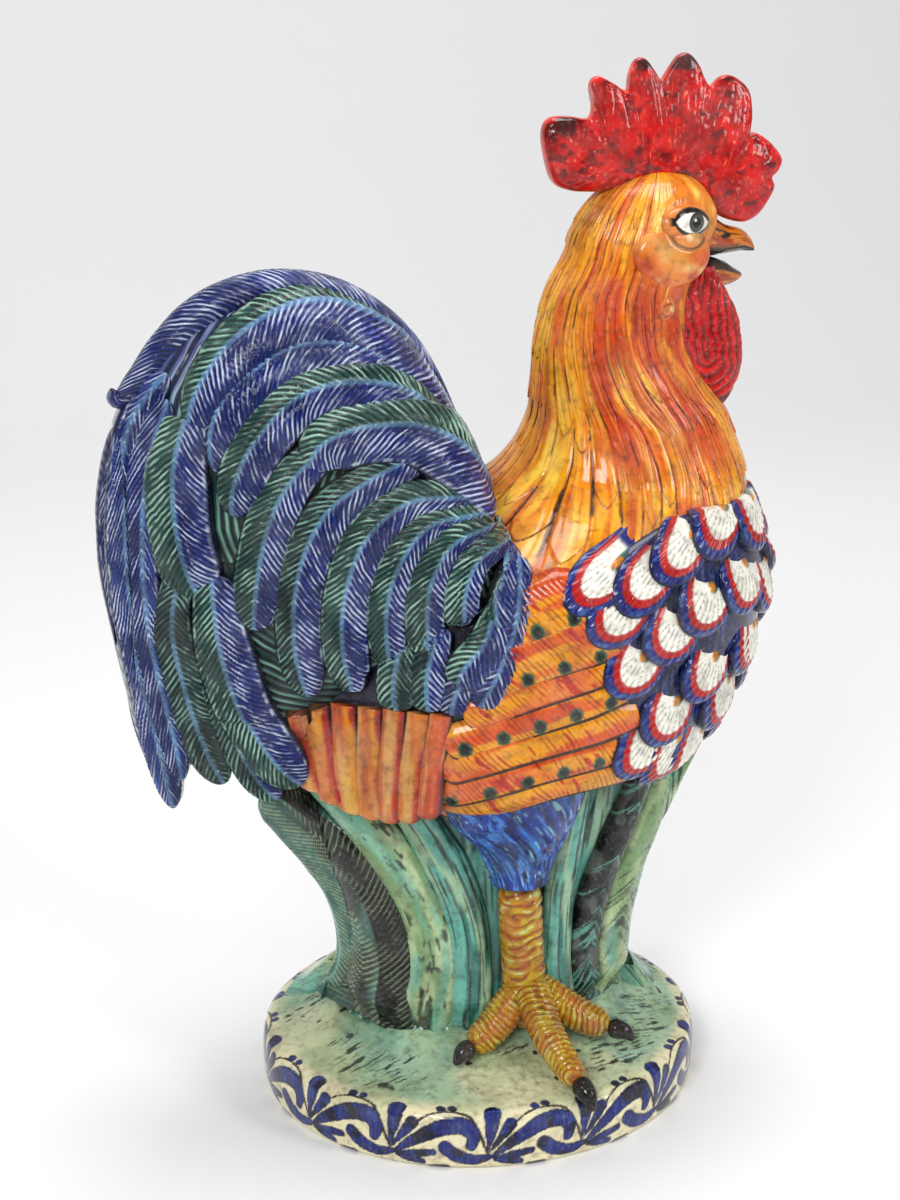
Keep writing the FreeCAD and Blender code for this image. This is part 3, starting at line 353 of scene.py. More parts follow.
def add_mesh(name, points, faces, attrs, material, nodes, mirrored=False):
    """Smooth-shaded mesh in metres from points in millimetres, riding on the body."""
    low, high = (np.array(corner) for corner in CAD_BOX)
    points = np.clip(np.array(points) * MM, low + BOX_MARGIN, high - BOX_MARGIN).astype(np.float32)
    faces = np.array(faces, np.int32)
    if mirrored:
        points[:, 1] *= -1
        faces = faces[:, ::-1]
    else:
        faces = outward(points, faces)
    mesh = bpy.data.meshes.new(name)
    mesh.vertices.add(len(points))
    mesh.vertices.foreach_set("co", points.ravel())
    mesh.loops.add(faces.size)
    mesh.loops.foreach_set("vertex_index", faces.ravel())
    mesh.polygons.add(len(faces))
    mesh.polygons.foreach_set("loop_start", np.arange(0, faces.size, 4, dtype=np.int32))
    mesh.update(calc_edges=True)
    mesh.polygons.foreach_set("use_smooth", np.ones(len(faces), bool))
    for key, value in attrs.items():
        value = np.array(value, np.float32)
        painted = value.ndim == 2
        if painted:
            value = np.hstack([value, np.ones((len(value), 1), np.float32)])
        layer = mesh.attributes.new(key, "FLOAT_COLOR" if painted else "FLOAT", "POINT")
        layer.data.foreach_set("color" if painted else "value", value.ravel())
    mesh.materials.append(material)
    made = linked(name, mesh)
    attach(made, "root")
    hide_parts(*nodes)


def linked(name, data):
    """A new object of the scene."""
    made = bpy.data.objects.new(name, data)
    bpy.context.scene.collection.objects.link(made)
    return made


def outward(points, faces):
    """Turns the faces of a closed form over where they look inward."""
    a, b, c, d = (points[faces[:, k]] for k in range(4))
    volume = (np.cross(a, b) * c).sum() + (np.cross(a, c) * d).sum()
    return faces if volume > 0 else faces[:, ::-1]


def grid_faces(rows, columns):
    """Quads of a grid of points whose last column joins the first."""
    i, j = np.arange(rows - 1)[:, None] * columns, np.arange(columns)[None, :]
    k = (j + 1) % columns
    return np.stack([i + j, i + k, i + columns + k, i + columns + j], -1).reshape(-1, 4)


def caps(rows, columns):
    """Quads that close the first and the last ring of a grid with an even number of columns."""
    k = np.arange(columns // 2 - 1)
    quads = np.stack([k, columns - 1 - k, columns - 2 - k, k + 1], -1)
    return np.vstack([quads, quads[:, ::-1] + (rows - 1) * columns])


def closed_mesh(grid):
    """Points and faces of a tube-like grid with both ends closed."""
    rows, columns = grid.shape[:2]
    return grid.reshape(-1, 3), np.vstack([grid_faces(rows, columns), caps(rows, columns)])


class Batch:
    """Closed forms gathered into one mesh."""

    def __init__(self):
        self.points, self.faces, self.attrs, self.count = [], [], {}, 0

    def add(self, points, faces, attrs):
        self.points.append(points)
        self.faces.append(outward(points, faces) + self.count)
        self.count += len(points)
        for key, value in attrs.items():
            self.attrs.setdefault(key, []).append(value)

    def add_skin(self, grid, paint):
        self.add(*closed_mesh(grid), {"pigment": paint.reshape(-1, 3)})

    def pair(self, name, material, slot):
        """The piece on the right side and its mirror image on the left."""
        points, faces = np.concatenate(self.points), np.concatenate(self.faces)
        attrs = {key: np.concatenate(value) for key, value in self.attrs.items()}
        for side, flip in (("_right", False), ("_left", True)):
            add_mesh(name + side + "_glazed", points, faces, attrs, material, (name + side,), flip)


def skin(name, grid, paint, material, nodes):
    """One painted closed form."""
    points, faces = closed_mesh(grid)
    add_mesh(name, points, faces, {"pigment": paint.reshape(-1, 3)}, material, nodes)


def skin_pair(name, grid, paint, material, slot):
    """A painted closed form on each side."""
    batch = Batch()
    batch.add_skin(grid, paint)
    batch.pair(name, material, slot)


# The main surfaces

BODY = Table([(186 + 162 * up, 254 * c, 127 * long, 95 * wide) for up, c, long, wide in (
    (0.000, 0.022, 0.520, 0.560), (0.062, 0.022, 0.765, 0.790), (0.160, 0.030, 0.914, 0.925),
    (0.321, 0.046, 1.006, 0.990), (0.506, 0.078, 1.027, 1.000), (0.679, 0.122, 0.966, 0.985),
    (0.815, 0.186, 0.800, 0.900), (0.914, 0.256, 0.650, 0.770), (1.000, 0.296, 0.551, 0.630))])
TAIL = Table([(100 * x, 100 * top, 100 * low, 100 * wide) for x, top, low, wide in (
    (-0.02, 3.36, 2.14, 0.80), (-0.16, 3.70, 2.11, 0.80), (-0.30, 4.01, 2.09, 0.78),
    (-0.50, 4.29, 2.07, 0.75), (-0.75, 4.49, 2.05, 0.70), (-1.00, 4.57, 2.03, 0.62),
    (-1.25, 4.55, 2.03, 0.53), (-1.50, 4.43, 2.04, 0.43), (-1.70, 4.24, 2.06, 0.33),
    (-1.86, 3.95, 2.22, 0.23), (-1.96, 3.55, 2.75, 0.12))])
TRUNK = Table([(40 + 162 * up, 160 * c, 80 * long, 42 * wide) for up, c, long, wide in (
    (0.000, -0.02, 1.04, 1.28), (0.110, 0.01, 0.95, 1.06), (0.290, 0.04, 0.92, 0.88),
    (0.480, 0.05, 0.98, 0.86), (0.690, 0.05, 1.12, 0.93), (0.880, 0.04, 1.24, 1.00),
    (1.000, 0.03, 1.30, 1.04))])


def oval_side(table):
    """Half-width of a form whose level cuts are ovals."""
    def side(x, z):
        row = table(z)
        return row[..., 2] * arc((x - row[..., 0]) / row[..., 1])
    return side


body_side, trunk_side = oval_side(BODY), oval_side(TRUNK)


def tail_side(x, z):
    top, low, wide = np.moveaxis(TAIL(x), -1, 0)
    return wide * arc((z - (top + low) / 2) / ((top - low) / 2))


def flank_side(x, z):
    return np.maximum(body_side(x, z), tail_side(x, z))


def hanging_side(x, z):
    return tail_side(np.maximum(x, -188), np.maximum(z, 245))


def saddle_side(x, z):
    return flank_side(x, np.maximum(z, 229.7))


# The eye point of the photograph, from which places on the bird were read
EYE_X, EYE_AWAY, EYE_Z = -322, 1122, 690


def laid(points, depth, side):
    """Points read on the upright plane y = -depth, slid along the line of sight onto a side."""
    eye, pts = np.array([EYE_X, EYE_Z]), np.array(points, float)

    def seen(away):
        return eye + (pts - eye) * ((EYE_AWAY - away) / (EYE_AWAY - depth))[:, None]

    away = np.full(len(pts), float(depth))
    for _ in range(12):
        away = (away + side(*seen(away).T)) / 2
    return seen(away)


def on_side(x, z, side, lift):
    """Points lifted off a side of the bird along its outward direction."""
    step = 2.0
    wx = np.clip((side(x + step, z) - side(x - step, z)) / (2 * step), -1.6, 1.6)
    wz = np.clip((side(x, z + step) - side(x, z - step)) / (2 * step), -1.6, 1.6)
    far = lift / np.sqrt(1 + wx ** 2 + wz ** 2)
    return np.stack([x - wx * far, -side(x, z) - far, z - wz * far], -1)


def feather_half(width, u):
    """Half-width along a feather that ends in a rounded tip."""
    grow = 0.62 + 0.38 * np.clip(u / 0.35, 0, 1) ** 0.8
    return width / 2 * grow * arc(np.clip(1 - u / 0.05, 0, 1), 0.01) * arc(part_of(u, 0.80, 1.0), power=2.2)


BARB_CUT = 1.25


def strip(path, width, side, rise, base, step=0.8, back=2.5, pitch=3.4, lean=1.1, quill_at=-0.1,
          seed=0, depth=None, shape=feather_half, dome=2.4, relief=None):
    """A domed feather laid along a path on a side. Returns points, faces, fields."""
    path = np.reshape(path, (-1, 2))
    line, run = curve(laid(path, depth, side) if depth else path, step)
    u = run / run[-1]
    heading = headings(line)
    front = max(9, int(width / step) | 1)
    T, U = np.meshgrid(np.concatenate([eased(front, 0.35), [0.92, 0.0, -0.92]]), u)
    R, H = U * run[-1], np.maximum(shape(width, u), 0.05)[:, None] * np.ones_like(T)
    cross = T * H
    x = line[:, :1] - heading[:, 1:] * cross
    z = line[:, 1:] + heading[:, :1] * cross
    quill = cross - quill_at * H
    scale = np.clip(H / (width / 2), 0.0, 1)
    arch = arc(np.abs(T), power=dome)
    phase = (R - np.abs(quill) * lean) / pitch
    if relief:
        detail = relief(R, cross, T)
    else:
        beat = saw(phase + noise(R * 0.07 + 5, cross * 0.10 + 5, seed) * 1.1)
        detail = (0.8 * bell(quill, 0.9) - 0.7 * bell(np.abs(quill) - 2.4, 1.1)
                  - BARB_CUT * ramp(beat, 0.55, 1.0) * ramp(arch, 0.15, 0.6))
    lift = base + rise * (0.45 + 0.55 * scale) * arch * np.sqrt(scale) + detail * scale
    if side is trunk_side:
        lift = lift - (base + rise) * 0.8 * ramp(U, 0.90, 1.0)
    lift[:, front:] = base - back
    fields = {"along": R, "cross": cross, "quill": quill, "phase": phase, "T": T,
              "edge": np.maximum(np.abs(T), ramp(U, 0.97, 1.0)), "seed": np.full(T.shape, float(seed))}
    points, faces = closed_mesh(on_side(x, z, side, lift))
    return points, faces, {key: value.ravel() for key, value in fields.items()}


INKS = {
    "blue": ("0A2C8E", "D0DAF0", "050A2C"),
    "navy": ("0C246C", "B8C6E4", "040822"),
    "green": ("225C54", "A8D0BC", "041413"),
    "dark": ("16403E", "82B0A0", "030D0E"),
    "wash": ("2448A6", "E4EAF4", "081448"),
}


def inks(outer, inner, share):
    """Pigments of the barbs: the outer ink where the share is 0, the inner one where it is 1."""
    return {key: mixed(colour(a), colour(b), share)
            for key, a, b in zip(("ink", "pale", "deep"), INKS[outer], INKS[inner])}


BARB_FIELDS = ("phase", "cross", "along", "seed", "quill", "edge")


def plain_barbs(phase, cross, along, seed):
    """Fields of a carved piece that has no quill and no painted edge."""
    found = (phase, cross, along, np.full(phase.shape, seed), np.full(phase.shape, 9.0), 0 * phase)
    return {key: value.ravel() for key, value in zip(BARB_FIELDS, found)}


# Tail
# Width, lift, quill place, rise, ink outside and inside the quill, and the quill's path (x and z by turns).

TAIL_GROUPS = {
    "tail_outer_streamer": (
        (18, 0, 0.1, 5, "wash", "blue",
         (-170, 428, -187, 405, -194, 370, -195, 325, -189, 280, -182, 240, -176, 200)),
        (17, 1, 0.3, 5, "blue", "wash", (-170, 415, -181, 385, -186, 345, -185, 300, -178, 255, -171, 215)),
    ),
    "tail_hanging_sickles": (
        (21, 1, 0.1, 6, "dark", "dark", (-166, 330, -172, 300, -166, 262, -158, 232, -149, 211)),
        (30, 3, -0.05, 7, "green", "blue", (-150, 325, -147, 290, -138, 255, -123, 226, -108, 207)),
        (20, 1, 0.0, 5, "dark", "blue", (-152, 300, -150, 270, -144, 240, -132, 214, -121, 199)),
    ),
    "tail_upper_sickles": (
        (27, 2.4, -0.3, 7, "green", "blue",
         (-24, 378, -46, 418, -74, 441, -100, 449, -127, 440, -146, 421, -159, 400)),
        (24, 1.0, -0.55, 7, "navy", "blue",
         (-26, 378, -50, 404, -78, 424, -103, 428, -127, 416, -141, 398, -146, 376)),
        (31, 1.6, 0.0, 7.5, "green", "blue", (-160, 405, -166, 380, -166, 352, -162, 330, -157, 314)),
        (25, 3.0, -0.15, 7.5, "green", "blue",
         (-34, 386, -55, 406, -80, 413, -104, 409, -124, 391, -135, 371, -139, 354)),
    ),
    "tail_coverts": (
        (25, 2.0, 0.0, 7, "green", "blue", (-92, 385, -108, 372, -120, 352, -127, 325, -131, 294)),
        (24, 2.6, -0.15, 7, "dark", "blue", (-45, 378, -70, 366, -92, 350, -105, 322, -108, 288, -103, 256)),
        (24, 3.2, -0.05, 7, "green", "blue", (-20, 352, -50, 354, -72, 338, -83, 308, -84, 280, -78, 254)),
        (20, 3.6, 0.0, 6.5, "green", "blue", (-15, 344, -40, 342, -56, 324, -63, 298, -60, 266)),
        (21, 4.2, 0.1, 6.5, "green", "blue", (-12, 339, -30, 332, -41, 314, -43, 292, -38, 268)),
        (19, 4.8, 0.1, 6, "green", "blue", (-6, 334, -18, 322, -24, 304, -22, 284)),
        (17, 5.2, -0.1, 6, "green", "blue", (2, 328, -1, 312, -3, 296, -3, 280)),
        (13, 4.6, 0.0, 5, "blue", "blue", (8, 318, 9, 304, 7, 286, 2, 270)),
        (17, 4.2, 0.0, 5, "dark", "blue", (-33, 286, -37, 272, -40, 258, -40, 240)),
        (17, 3.8, 0.0, 5, "green", "dark", (-52, 280, -55, 268, -57, 256, -56, 242)),
        (21, 5.4, -0.2, 5.5, "green", "blue", (-4, 286, -9, 272, -18, 262, -24, 252)),
        (17, 4.4, 0.0, 5, "blue", "blue", (2, 276, -2, 262, -8, 250, -14, 240)),
        (15, 4.0, 0.0, 4.5, "navy", "blue", (-14, 270, -20, 258, -26, 248, -28, 237)),
        (30, 4.4, -0.12, 8, "green", "blue", (-12, 350, -28, 372, -50, 388, -74, 391, -92, 386, -101, 376)),
    ),
}


def make_tail(feathers):
    """Feather groups on both sides of the tail."""
    seed = 0
    for (name, rows), side in zip(TAIL_GROUPS.items(), (hanging_side, hanging_side, tail_side, flank_side)):
        batch = Batch()
        lean, pitch, back = (3.2, 5.0, 9) if name == "tail_outer_streamer" else (1.15, 3.4, 3.5)
        for width, base, quill_at, rise, outer, inner, path in rows:
            seed += 1
            points, faces, fields = strip(path, width, side, rise, base, 0.8, back, pitch, lean, quill_at,
                                          seed, 45)
            attrs = {key: fields[key] for key in BARB_FIELDS}
            batch.add(points, faces, attrs | inks(outer, inner, 1.0 * (fields["quill"] > 0)))
        batch.pair(name, feathers, "tail_blue_green_glaze")


def make_core(feathers):
    """The tail's body, seen between the feathers."""
    x = np.concatenate([np.linspace(0, -190, 210), np.linspace(-190.5, -196, 12)])
    top, low, wide = TAIL(x).T[..., None]
    X, A = spun(x, 520)
    Z = (top + low) / 2 + (top - low) / 2 * np.sin(A)
    lean, reach = np.arctan2(Z - 330, X + 60), np.hypot(Z - 330, X + 60)
    attrs = plain_barbs((reach * 0.9 + lean * 30) / 4.0, reach * 0.2, lean * 60, 40.0)
    attrs |= inks("dark", "navy", ramp(Z - 0.25 * X, 430, 470).ravel())
    points = np.stack([X, wide * np.cos(A), Z], -1).reshape(-1, 3)
    add_mesh("tail_core_glazed", points, grid_faces(*X.shape), attrs, feathers,
             ("tail_core",))


def make_crest(feathers):
    """The long feather over the tail's top edge."""
    path, run = curve([(-8, 338), (-19, 376), (-41, 422), (-72, 449), (-106, 457.5), (-138, 451),
                       (-163, 433), (-179, 415), (-188, 407), (-192, 411)], 0.8)
    heading = headings(path)
    U, A = spun(run / run[-1], 72)
    R = U * run[-1]
    tip = arc(part_of(U, 0.93, 1.0), 0.01)
    wide = 12 * (0.8 + 0.6 * np.sin(PI * np.minimum(1.0, U * 1.15))) * tip
    reach = -12 * (0.75 - 0.45 * part_of(U, 0.8, 1.0)) * tip * np.cos(A)
    reach = np.where(reach > 0, reach * (1 + 1.3 * U), reach)
    girth = A / (2 * PI) * 60
    phase = (R - np.abs(girth - 30) * 1.1) / 3.6
    grow = 1 - 0.055 * ramp(saw(phase + noise(R * 0.07 + 5, girth * 0.1, 31) * 1.1), 0.55, 1.0)
    x = np.maximum(path[:, :1] - heading[:, 1:] * reach * grow, -200.5)
    z = path[:, 1:] + heading[:, :1] * reach * grow
    points = np.stack([x, wide * np.sin(A) * grow, z], -1).reshape(-1, 3)
    attrs = plain_barbs(phase, girth * 0.5, R, 31.0) | inks("blue", "blue", np.zeros(R.size))
    add_mesh("tail_crest_glazed", points, grid_faces(*R.shape), attrs, feathers,
             ("tail_crest_feather",))


# Forms for body, head, legs, fronds, base

# WARM takes the blue out of the yellow and orange paints.
PALETTE = {key: colour(value) for key, value in {
    "cream": "F2EBCB", "white": "F6F4EA", "yellow": "EDB81C", "gold": "DB9420", "orange": "E0701A",
    "rust": "A83E12", "red": "C41E16", "crimson": "A60818", "maroon": "380810", "pink": "E08F7C",
    "peach": "E8A060", "brown": "40200E", "black": "0C0908", "cobalt": "142C88", "navy": "0A1344",
    "sky": "7EA4DA", "teal": "2A746C", "aqua": "86C8BA", "moss": "86A878", "leaf": "C4D6AE",
    "ink_green": "0A1C16", "grey": "858B84", "ember": "C4440C"}.items()}
WARM = np.array([1.0, 0.92, 0.62])


def tint(name, like):
    """One palette colour for every point of an array."""
    return np.tile(PALETTE[name], np.shape(like) + (1,))


def lay(base, name, share):
    """Brush one palette colour over a painted array."""
    return mixed(base, PALETTE[name], np.clip(share, 0, 1))


def brush(paint, a, b, rows):
    """Lay rows of brush marks: colour, share, scales of a and b, seed, low, high, shift of b, of a."""
    for name, share, long, wide, seed, low, high, *shift in rows:
        db, da = (*shift, 0, 0)[:2]
        paint = lay(paint, name, share * marks(a * long + da, b * wide + db, seed, low, high))
    return paint


def marks(a, b, seed, low, high):
    """Brush marks: long where a changes slowly, thin where b changes fast."""
    return ramp(cloud(a, b, 0.0, seed, 2), low, high)


def level(table, low, high, rows, columns):
    """Rows of a table between two heights, with the height and the turn of each grid point."""
    z = np.linspace(low, high, rows)
    return np.column_stack([z, table(z)]), *spun(z, columns)


def ringed(rows, turn, lift=0.0, y=0.0):
    """Points on level ovals. rows hold z, centre x, half length, half width. Right side at a quarter."""
    z, cx, a, b = (rows[:, k][:, None] for k in range(4))
    x = cx + (a + lift) * np.cos(turn)
    return np.stack([x, y - (b + lift) * np.sin(turn), z + 0 * x], -1)


def limb(path, girths, step=0.7, columns=64, relief=None):
    """Tube along a path of points. Returns the grid, the run and the turn of each point."""
    line, run = curve([tuple(p) + (g,) for p, g in zip(path, girths)], step)
    centre, girth = line[:, :3], line[:, 3]
    ahead = headings(centre)
    side = np.cross(ahead, (0.0, 0.0, 1.0) if abs(ahead[0, 2]) < 0.9 else (1.0, 0.0, 0.0))
    side /= np.linalg.norm(side, axis=1)[:, None]
    top = np.cross(side, ahead)
    R, A = spun(run, columns)
    end = np.clip(np.minimum(run, run[-1] - run) / girth, 0, 1)
    G = ((girth * arc(1 - end, 0.02))[:, None] + relief(R, A))[..., None]
    grid = centre[:, None] + G * (np.cos(A)[..., None] * top[:, None] + np.sin(A)[..., None] * side[:, None])
    return grid, R, A


# Body, wing, saddle

def make_body(glaze):
    rows, Z, A = level(BODY, 186.5, 347.5, 200, 560)
    run = A * 95
    grid = ringed(rows, A, 0.6 * marks(Z * 0.05, run * 0.35, 71, 0.62, 0.78) - 0.4)
    front = ramp(np.cos(A), 0.55, 0.9)
    rump = ramp(-grid[..., 0], 5, 25) * ramp(Z, 232, 244)
    paint = brush(tint("orange", Z), Z, run, (
        ("rust", 0.9, 0.06, 0.12, 72, 0.35, 0.7), ("gold", front, 0.05, 0.5, 73, 0.3, 0.6),
        ("cream", front, 0.05, 0.8, 74, 0.6, 0.75)))
    paint = brush(lay(paint, "navy", rump), Z, run, (("teal", 0.5 * rump, 0.1, 0.1, 75, 0.62, 0.78),))
    skin("body_glazed", grid, paint, glaze, ("body_shell",))


def wing_slant(R, cross):
    """Place across the slanting hatch of a wing feather."""
    return R + cross * 0.5 + noise(R * 0.08, cross * 0.1, seed=9) * 3


HATCH = 2.7


def wing_relief(R, cross, T):
    beat = saw(wing_slant(R, cross) / HATCH)
    ridge = -0.6 * ramp(beat, 0.4, 1.0) * ramp(T, -0.55, -0.2) * ramp(-T, -0.72, -0.55)
    return ridge - 0.9 * bell(T - 0.74, 0.06) - 2.2 * ramp(-T, 0.3, 1.0)


def wing_paint(fields, index):
    """Peach, yellow and red washes, a rust hatch, a brown edge; dots on every other feather."""
    R, c, T = fields["along"], fields["cross"], fields["T"]
    s, slant = 100 + index, wing_slant(R, c)
    paint = brush(tint("orange", R), R, c, (
        ("peach", 0.8, 0.02, 0.12, s, 0.35, 0.6), ("yellow", 0.95, 0.03, 0.16, s + 20, 0.42, 0.62, 0, 9)))
    paint = brush(paint, c, slant, (
        ("rust", 0.7 * ramp(saw(slant / HATCH), 0.5, 0.95), 0.09, 0.2, s + 40, 0.35, 0.6),
        ("red", 0.85, 0.10, 0.30, s + 60, 0.66, 0.76, 7)))
    paint = brush(paint, R, c, (("pink", 0.7 * ramp(R, R.max() * 0.8, R.max()), 0.1, 0.3, s + 70, 0.3, 0.6),))
    paint = lay(paint, "brown", 0.95 * ramp(T, 0.70, 0.78))
    for k in range(8 if index % 2 else 0):
        reach = np.hypot(R - 10 - 19 * k, (T - 0.36) * 8.0) + 0.9 * noise(R * 0.9, c * 0.9, seed=s)
        paint = lay(paint, "teal", 0.95 * ramp(-reach, -4.4, -3.4))
        paint = lay(paint, "ink_green", 0.95 * ramp(-reach, -3.3, -2.2))
    return paint * WARM


WING = (
    ([(68, 221), (10, 211), (-46, 204)], 18), ([(62, 232), (8, 222), (-46, 214)], 19),
    ([(56, 246), (5, 236), (-46, 227)], 20), ([(50, 261), (6, 250), (-44, 240)], 20),
    ([(46, 274), (8, 265), (-34, 254)], 19), ([(44, 286), (8, 278), (-26, 268)], 18),
    ([(36, 296), (10, 290), (-20, 281)], 18), ([(30, 306), (12, 302), (-14, 294)], 18),
    ([(23, 317), (10, 314), (-6, 308)], 17),
)


def wing_shape(width, u):
    return width / 2 * arc(part_of(u, 0.93, 1.0), 0.02) * np.clip(0.8 + u, 0, 1)


def make_wing(glaze):
    batch = Batch()
    for k, (path, width) in enumerate(WING):
        points, faces, fields = strip(path, width, body_side, 2.6, 3.0 + 0.35 * k, 0.7, 5.5, depth=90,
                                      shape=wing_shape, relief=wing_relief, dome=3.5)
        batch.add(points, faces, {"pigment": wing_paint(fields, k)})
    batch.pair("wing_feathers", glaze, "wing_orange_glaze")


SADDLE = (
    (-119, 266, -108, 221), (-107, 268, -99, 213), (-94, 267, -90, 207), (-81, 264, -81, 203),
    (-69, 262, -72, 200), (-57, 259, -63, 199), (-46, 257, -53, 200),
)


def saddle_relief(R, cross, T):
    line = saw((cross + noise(R * 0.05, cross * 0.2, seed=12) * 2) / 2.6)
    return -0.5 * ramp(line, 0.4, 1.0) - 0.3 * marks(R * 0.2, cross * 0.3, 14, 0.5, 0.7)


def saddle_paint(fields, index):
    R, c, T = fields["along"], fields["cross"], fields["T"]
    s = 200 + index
    first = ("red", "peach", "orange", "peach", "red", "gold", "orange")[index]
    paint = brush(tint("peach", R), R, c, (
        (first, 0.75, 0.02, 0.14, s, 0.30, 0.6), ("yellow", 0.7, 0.02, 0.16, s + 10, 0.5, 0.66),
        ("cream", 0.35, 0.03, 0.22, s + 20, 0.50, 0.70), ("ember", 0.6, 0.025, 0.25, s + 30, 0.54, 0.70),
        ("red", 0.9 * ramp(T, 0.30, 0.60), 0.04, 0.1, s + 40, 0.38, 0.52)))
    return lay(paint, "brown", 0.9 * ramp(np.abs(T), 0.70, 0.82)) * WARM * 0.85


def saddle_shape(width, u):
    return width / 2 * (0.9 + 0.1 * u) * arc(part_of(u, 0.90, 1.0), 0.02)


def make_saddle(glaze):
    batch = Batch()
    for k, (top_x, top_z, low_x, low_z) in enumerate(SADDLE):
        path = [(top_x, top_z), ((top_x + low_x) / 2 - 1, (top_z + low_z) / 2), (low_x, low_z)]
        points, faces, fields = strip(path, 13.5, saddle_side, 5.5, 2.0, 0.7, 5, depth=90,
                                      shape=saddle_shape, relief=saddle_relief)
        batch.add(points, faces, {"pigment": saddle_paint(fields, k)})
    batch.pair("saddle_feathers", glaze, "saddle_peach_glaze")


# Shoulder scales: dot centre read in the side view, or turn (degrees) and height

SCALES = (
    (82.5, 338), (110, 321), (44, 326), (64.5, 323), (93, 310), (51, 307), (77, 295.5), (118, 289),
    (58, 278), (96, 274), (76, 252), (107, 252), (98, 351),
)
WRAPPED = ((32, 337), (8, 318), (22, 302), (2, 286), (30, 272), (14, 256), (36, 246), (22, 234),
           (52, 224), (40, 222), (-4, 302), (-4, 334), (64, 232))
PLATE = 4.0


def body_point(turn, z, lift):
    """Point on the body's outside at a turn and height, lifted off it."""
    row = BODY(z)
    step = BODY(z + 1.0)
    nx, ny = np.cos(turn) / row[..., 1], np.sin(turn) / row[..., 2]
    size = np.hypot(nx, ny)
    slope = np.clip(-(step[..., 2] - row[..., 2]), -1.4, 1.4)
    flat = np.sqrt(1 + slope ** 2)
    x = row[..., 0] + row[..., 1] * np.cos(turn) + nx / size * lift / flat
    y = -(row[..., 2] * np.sin(turn)) - ny / size * lift / flat
    return np.stack([x, y, z + slope / flat * lift], -1)


SCALE_DOT = 13.5


def scale_tile(turn, z, seed):
    """One overlapping scale: rounded tip down, root sunk. Returns the grid and its pigment."""
    front = 1 - part_of(math.degrees(turn), 0, 75)
    width, length = 40.0 + 12 * front, 36.0 + 7 * front
    lean = math.radians(28 - 24 * front)
    T, U = np.meshgrid(np.concatenate([eased(48, 0.3), [0.95, 0.4, -0.4, -0.95]]), np.linspace(0, 1, 58))
    r = U * length
    beyond = r - (length - width / 2)
    half = width / 2 * arc(np.clip(beyond / (width / 2), 0, 1)) * (0.72 + 0.28 * np.clip(U / 0.5, 0, 1))
    c = T * np.maximum(half, 0.06)
    down = r - SCALE_DOT
    edge = width / 2 - np.where(beyond > 0, np.hypot(c, beyond), np.abs(c))
    ray = np.arctan2(c, np.maximum(down + 9, 2.0))
    fan = np.cos(ray * 34)
    lift = PLATE - 5.5 + 9.0 * ramp(U, -0.1, 0.85) + 1.6 * np.sqrt(np.clip(edge / 4, 0, 1))
    lift = lift + 0.4 * fan * ramp(edge, 0.0, 3.0) * ramp(down, 2, 6)
    lift = lift + 0.5 * bell(edge - 7.6, 0.9) + 1.5 * bell(np.hypot(c, down), 3.0)
    lift[:, -4:] = np.minimum(PLATE - 4.0, lift[:, -4:] - 2.0)
    sideways = c * math.cos(lean) - down * math.sin(lean)
    height = z - (c * math.sin(lean) + down * math.cos(lean)) * 0.97
    row = BODY(height)
    speed = np.hypot(row[..., 1] * math.sin(turn), row[..., 2] * math.cos(turn))
    grid = body_point(turn - sideways / np.maximum(speed, 30), height, lift - 7 * ramp(height, 338, 347))
    spot = np.hypot(c, down) + 0.8 * noise(c * 0.8, r * 0.8, seed=seed)
    stroke = marks(edge * 0.2, ray * 16, seed + 5, 0.5, 0.65)
    paint = tint("white", c)
    for name, share in (
            ("grey", 0.6 * ramp(-fan, 0.72, 1.0) * ramp(down, 1, 4)),
            ("red", ramp(-edge, -7.8 - 0.7 * noise(c, r, seed=seed), -7.3)),
            ("cobalt", ramp(-edge, -4.3 - 0.6 * noise(c * 1.3, r * 1.3, seed=seed + 3), -3.8)),
            ("sky", 0.45 * stroke * ramp(-edge, -3.6, -3.0)), ("navy", 0.8 * ramp(-edge, -1.3, -0.5)),
            ("teal", 0.95 * ramp(-np.hypot(c - 1.5, (down + 3.4) * 0.8), -5.6, -4.0)),
            ("gold", ramp(-spot, -3.4, -2.6)), ("cobalt", ramp(-down, 4.5, 7.0))):
        paint = lay(paint, name, share)
    return grid, paint


def make_scales(glaze):
    """Scales from the lowest up, each over the one below."""
    placed = [(math.radians(turn), z) for turn, z in WRAPPED]
    for x, z in laid(SCALES, 90, body_side):
        centre, half, _ = BODY(z)
        placed.append((math.acos(np.clip((x - centre) / half, -1, 1)), z))
    batch = Batch()
    for k, (turn, z) in enumerate(sorted(placed, key=lambda item: item[1])):
        batch.add_skin(*scale_tile(turn, z, 300 + k))
    batch.pair("shoulder_scales", glaze, "cream_scale_glaze")


PATCH = (
    (28, 318), (44, 326), (68, 336), (90, 342), (112, 340), (132, 334), (148, 322), (154, 306),
    (152, 286), (146, 266), (134, 246), (116, 226), (88, 212), (70, 216), (61, 230), (52, 247),
    (43, 258), (36, 270), (36, 282), (30, 296), (24, 310),
)


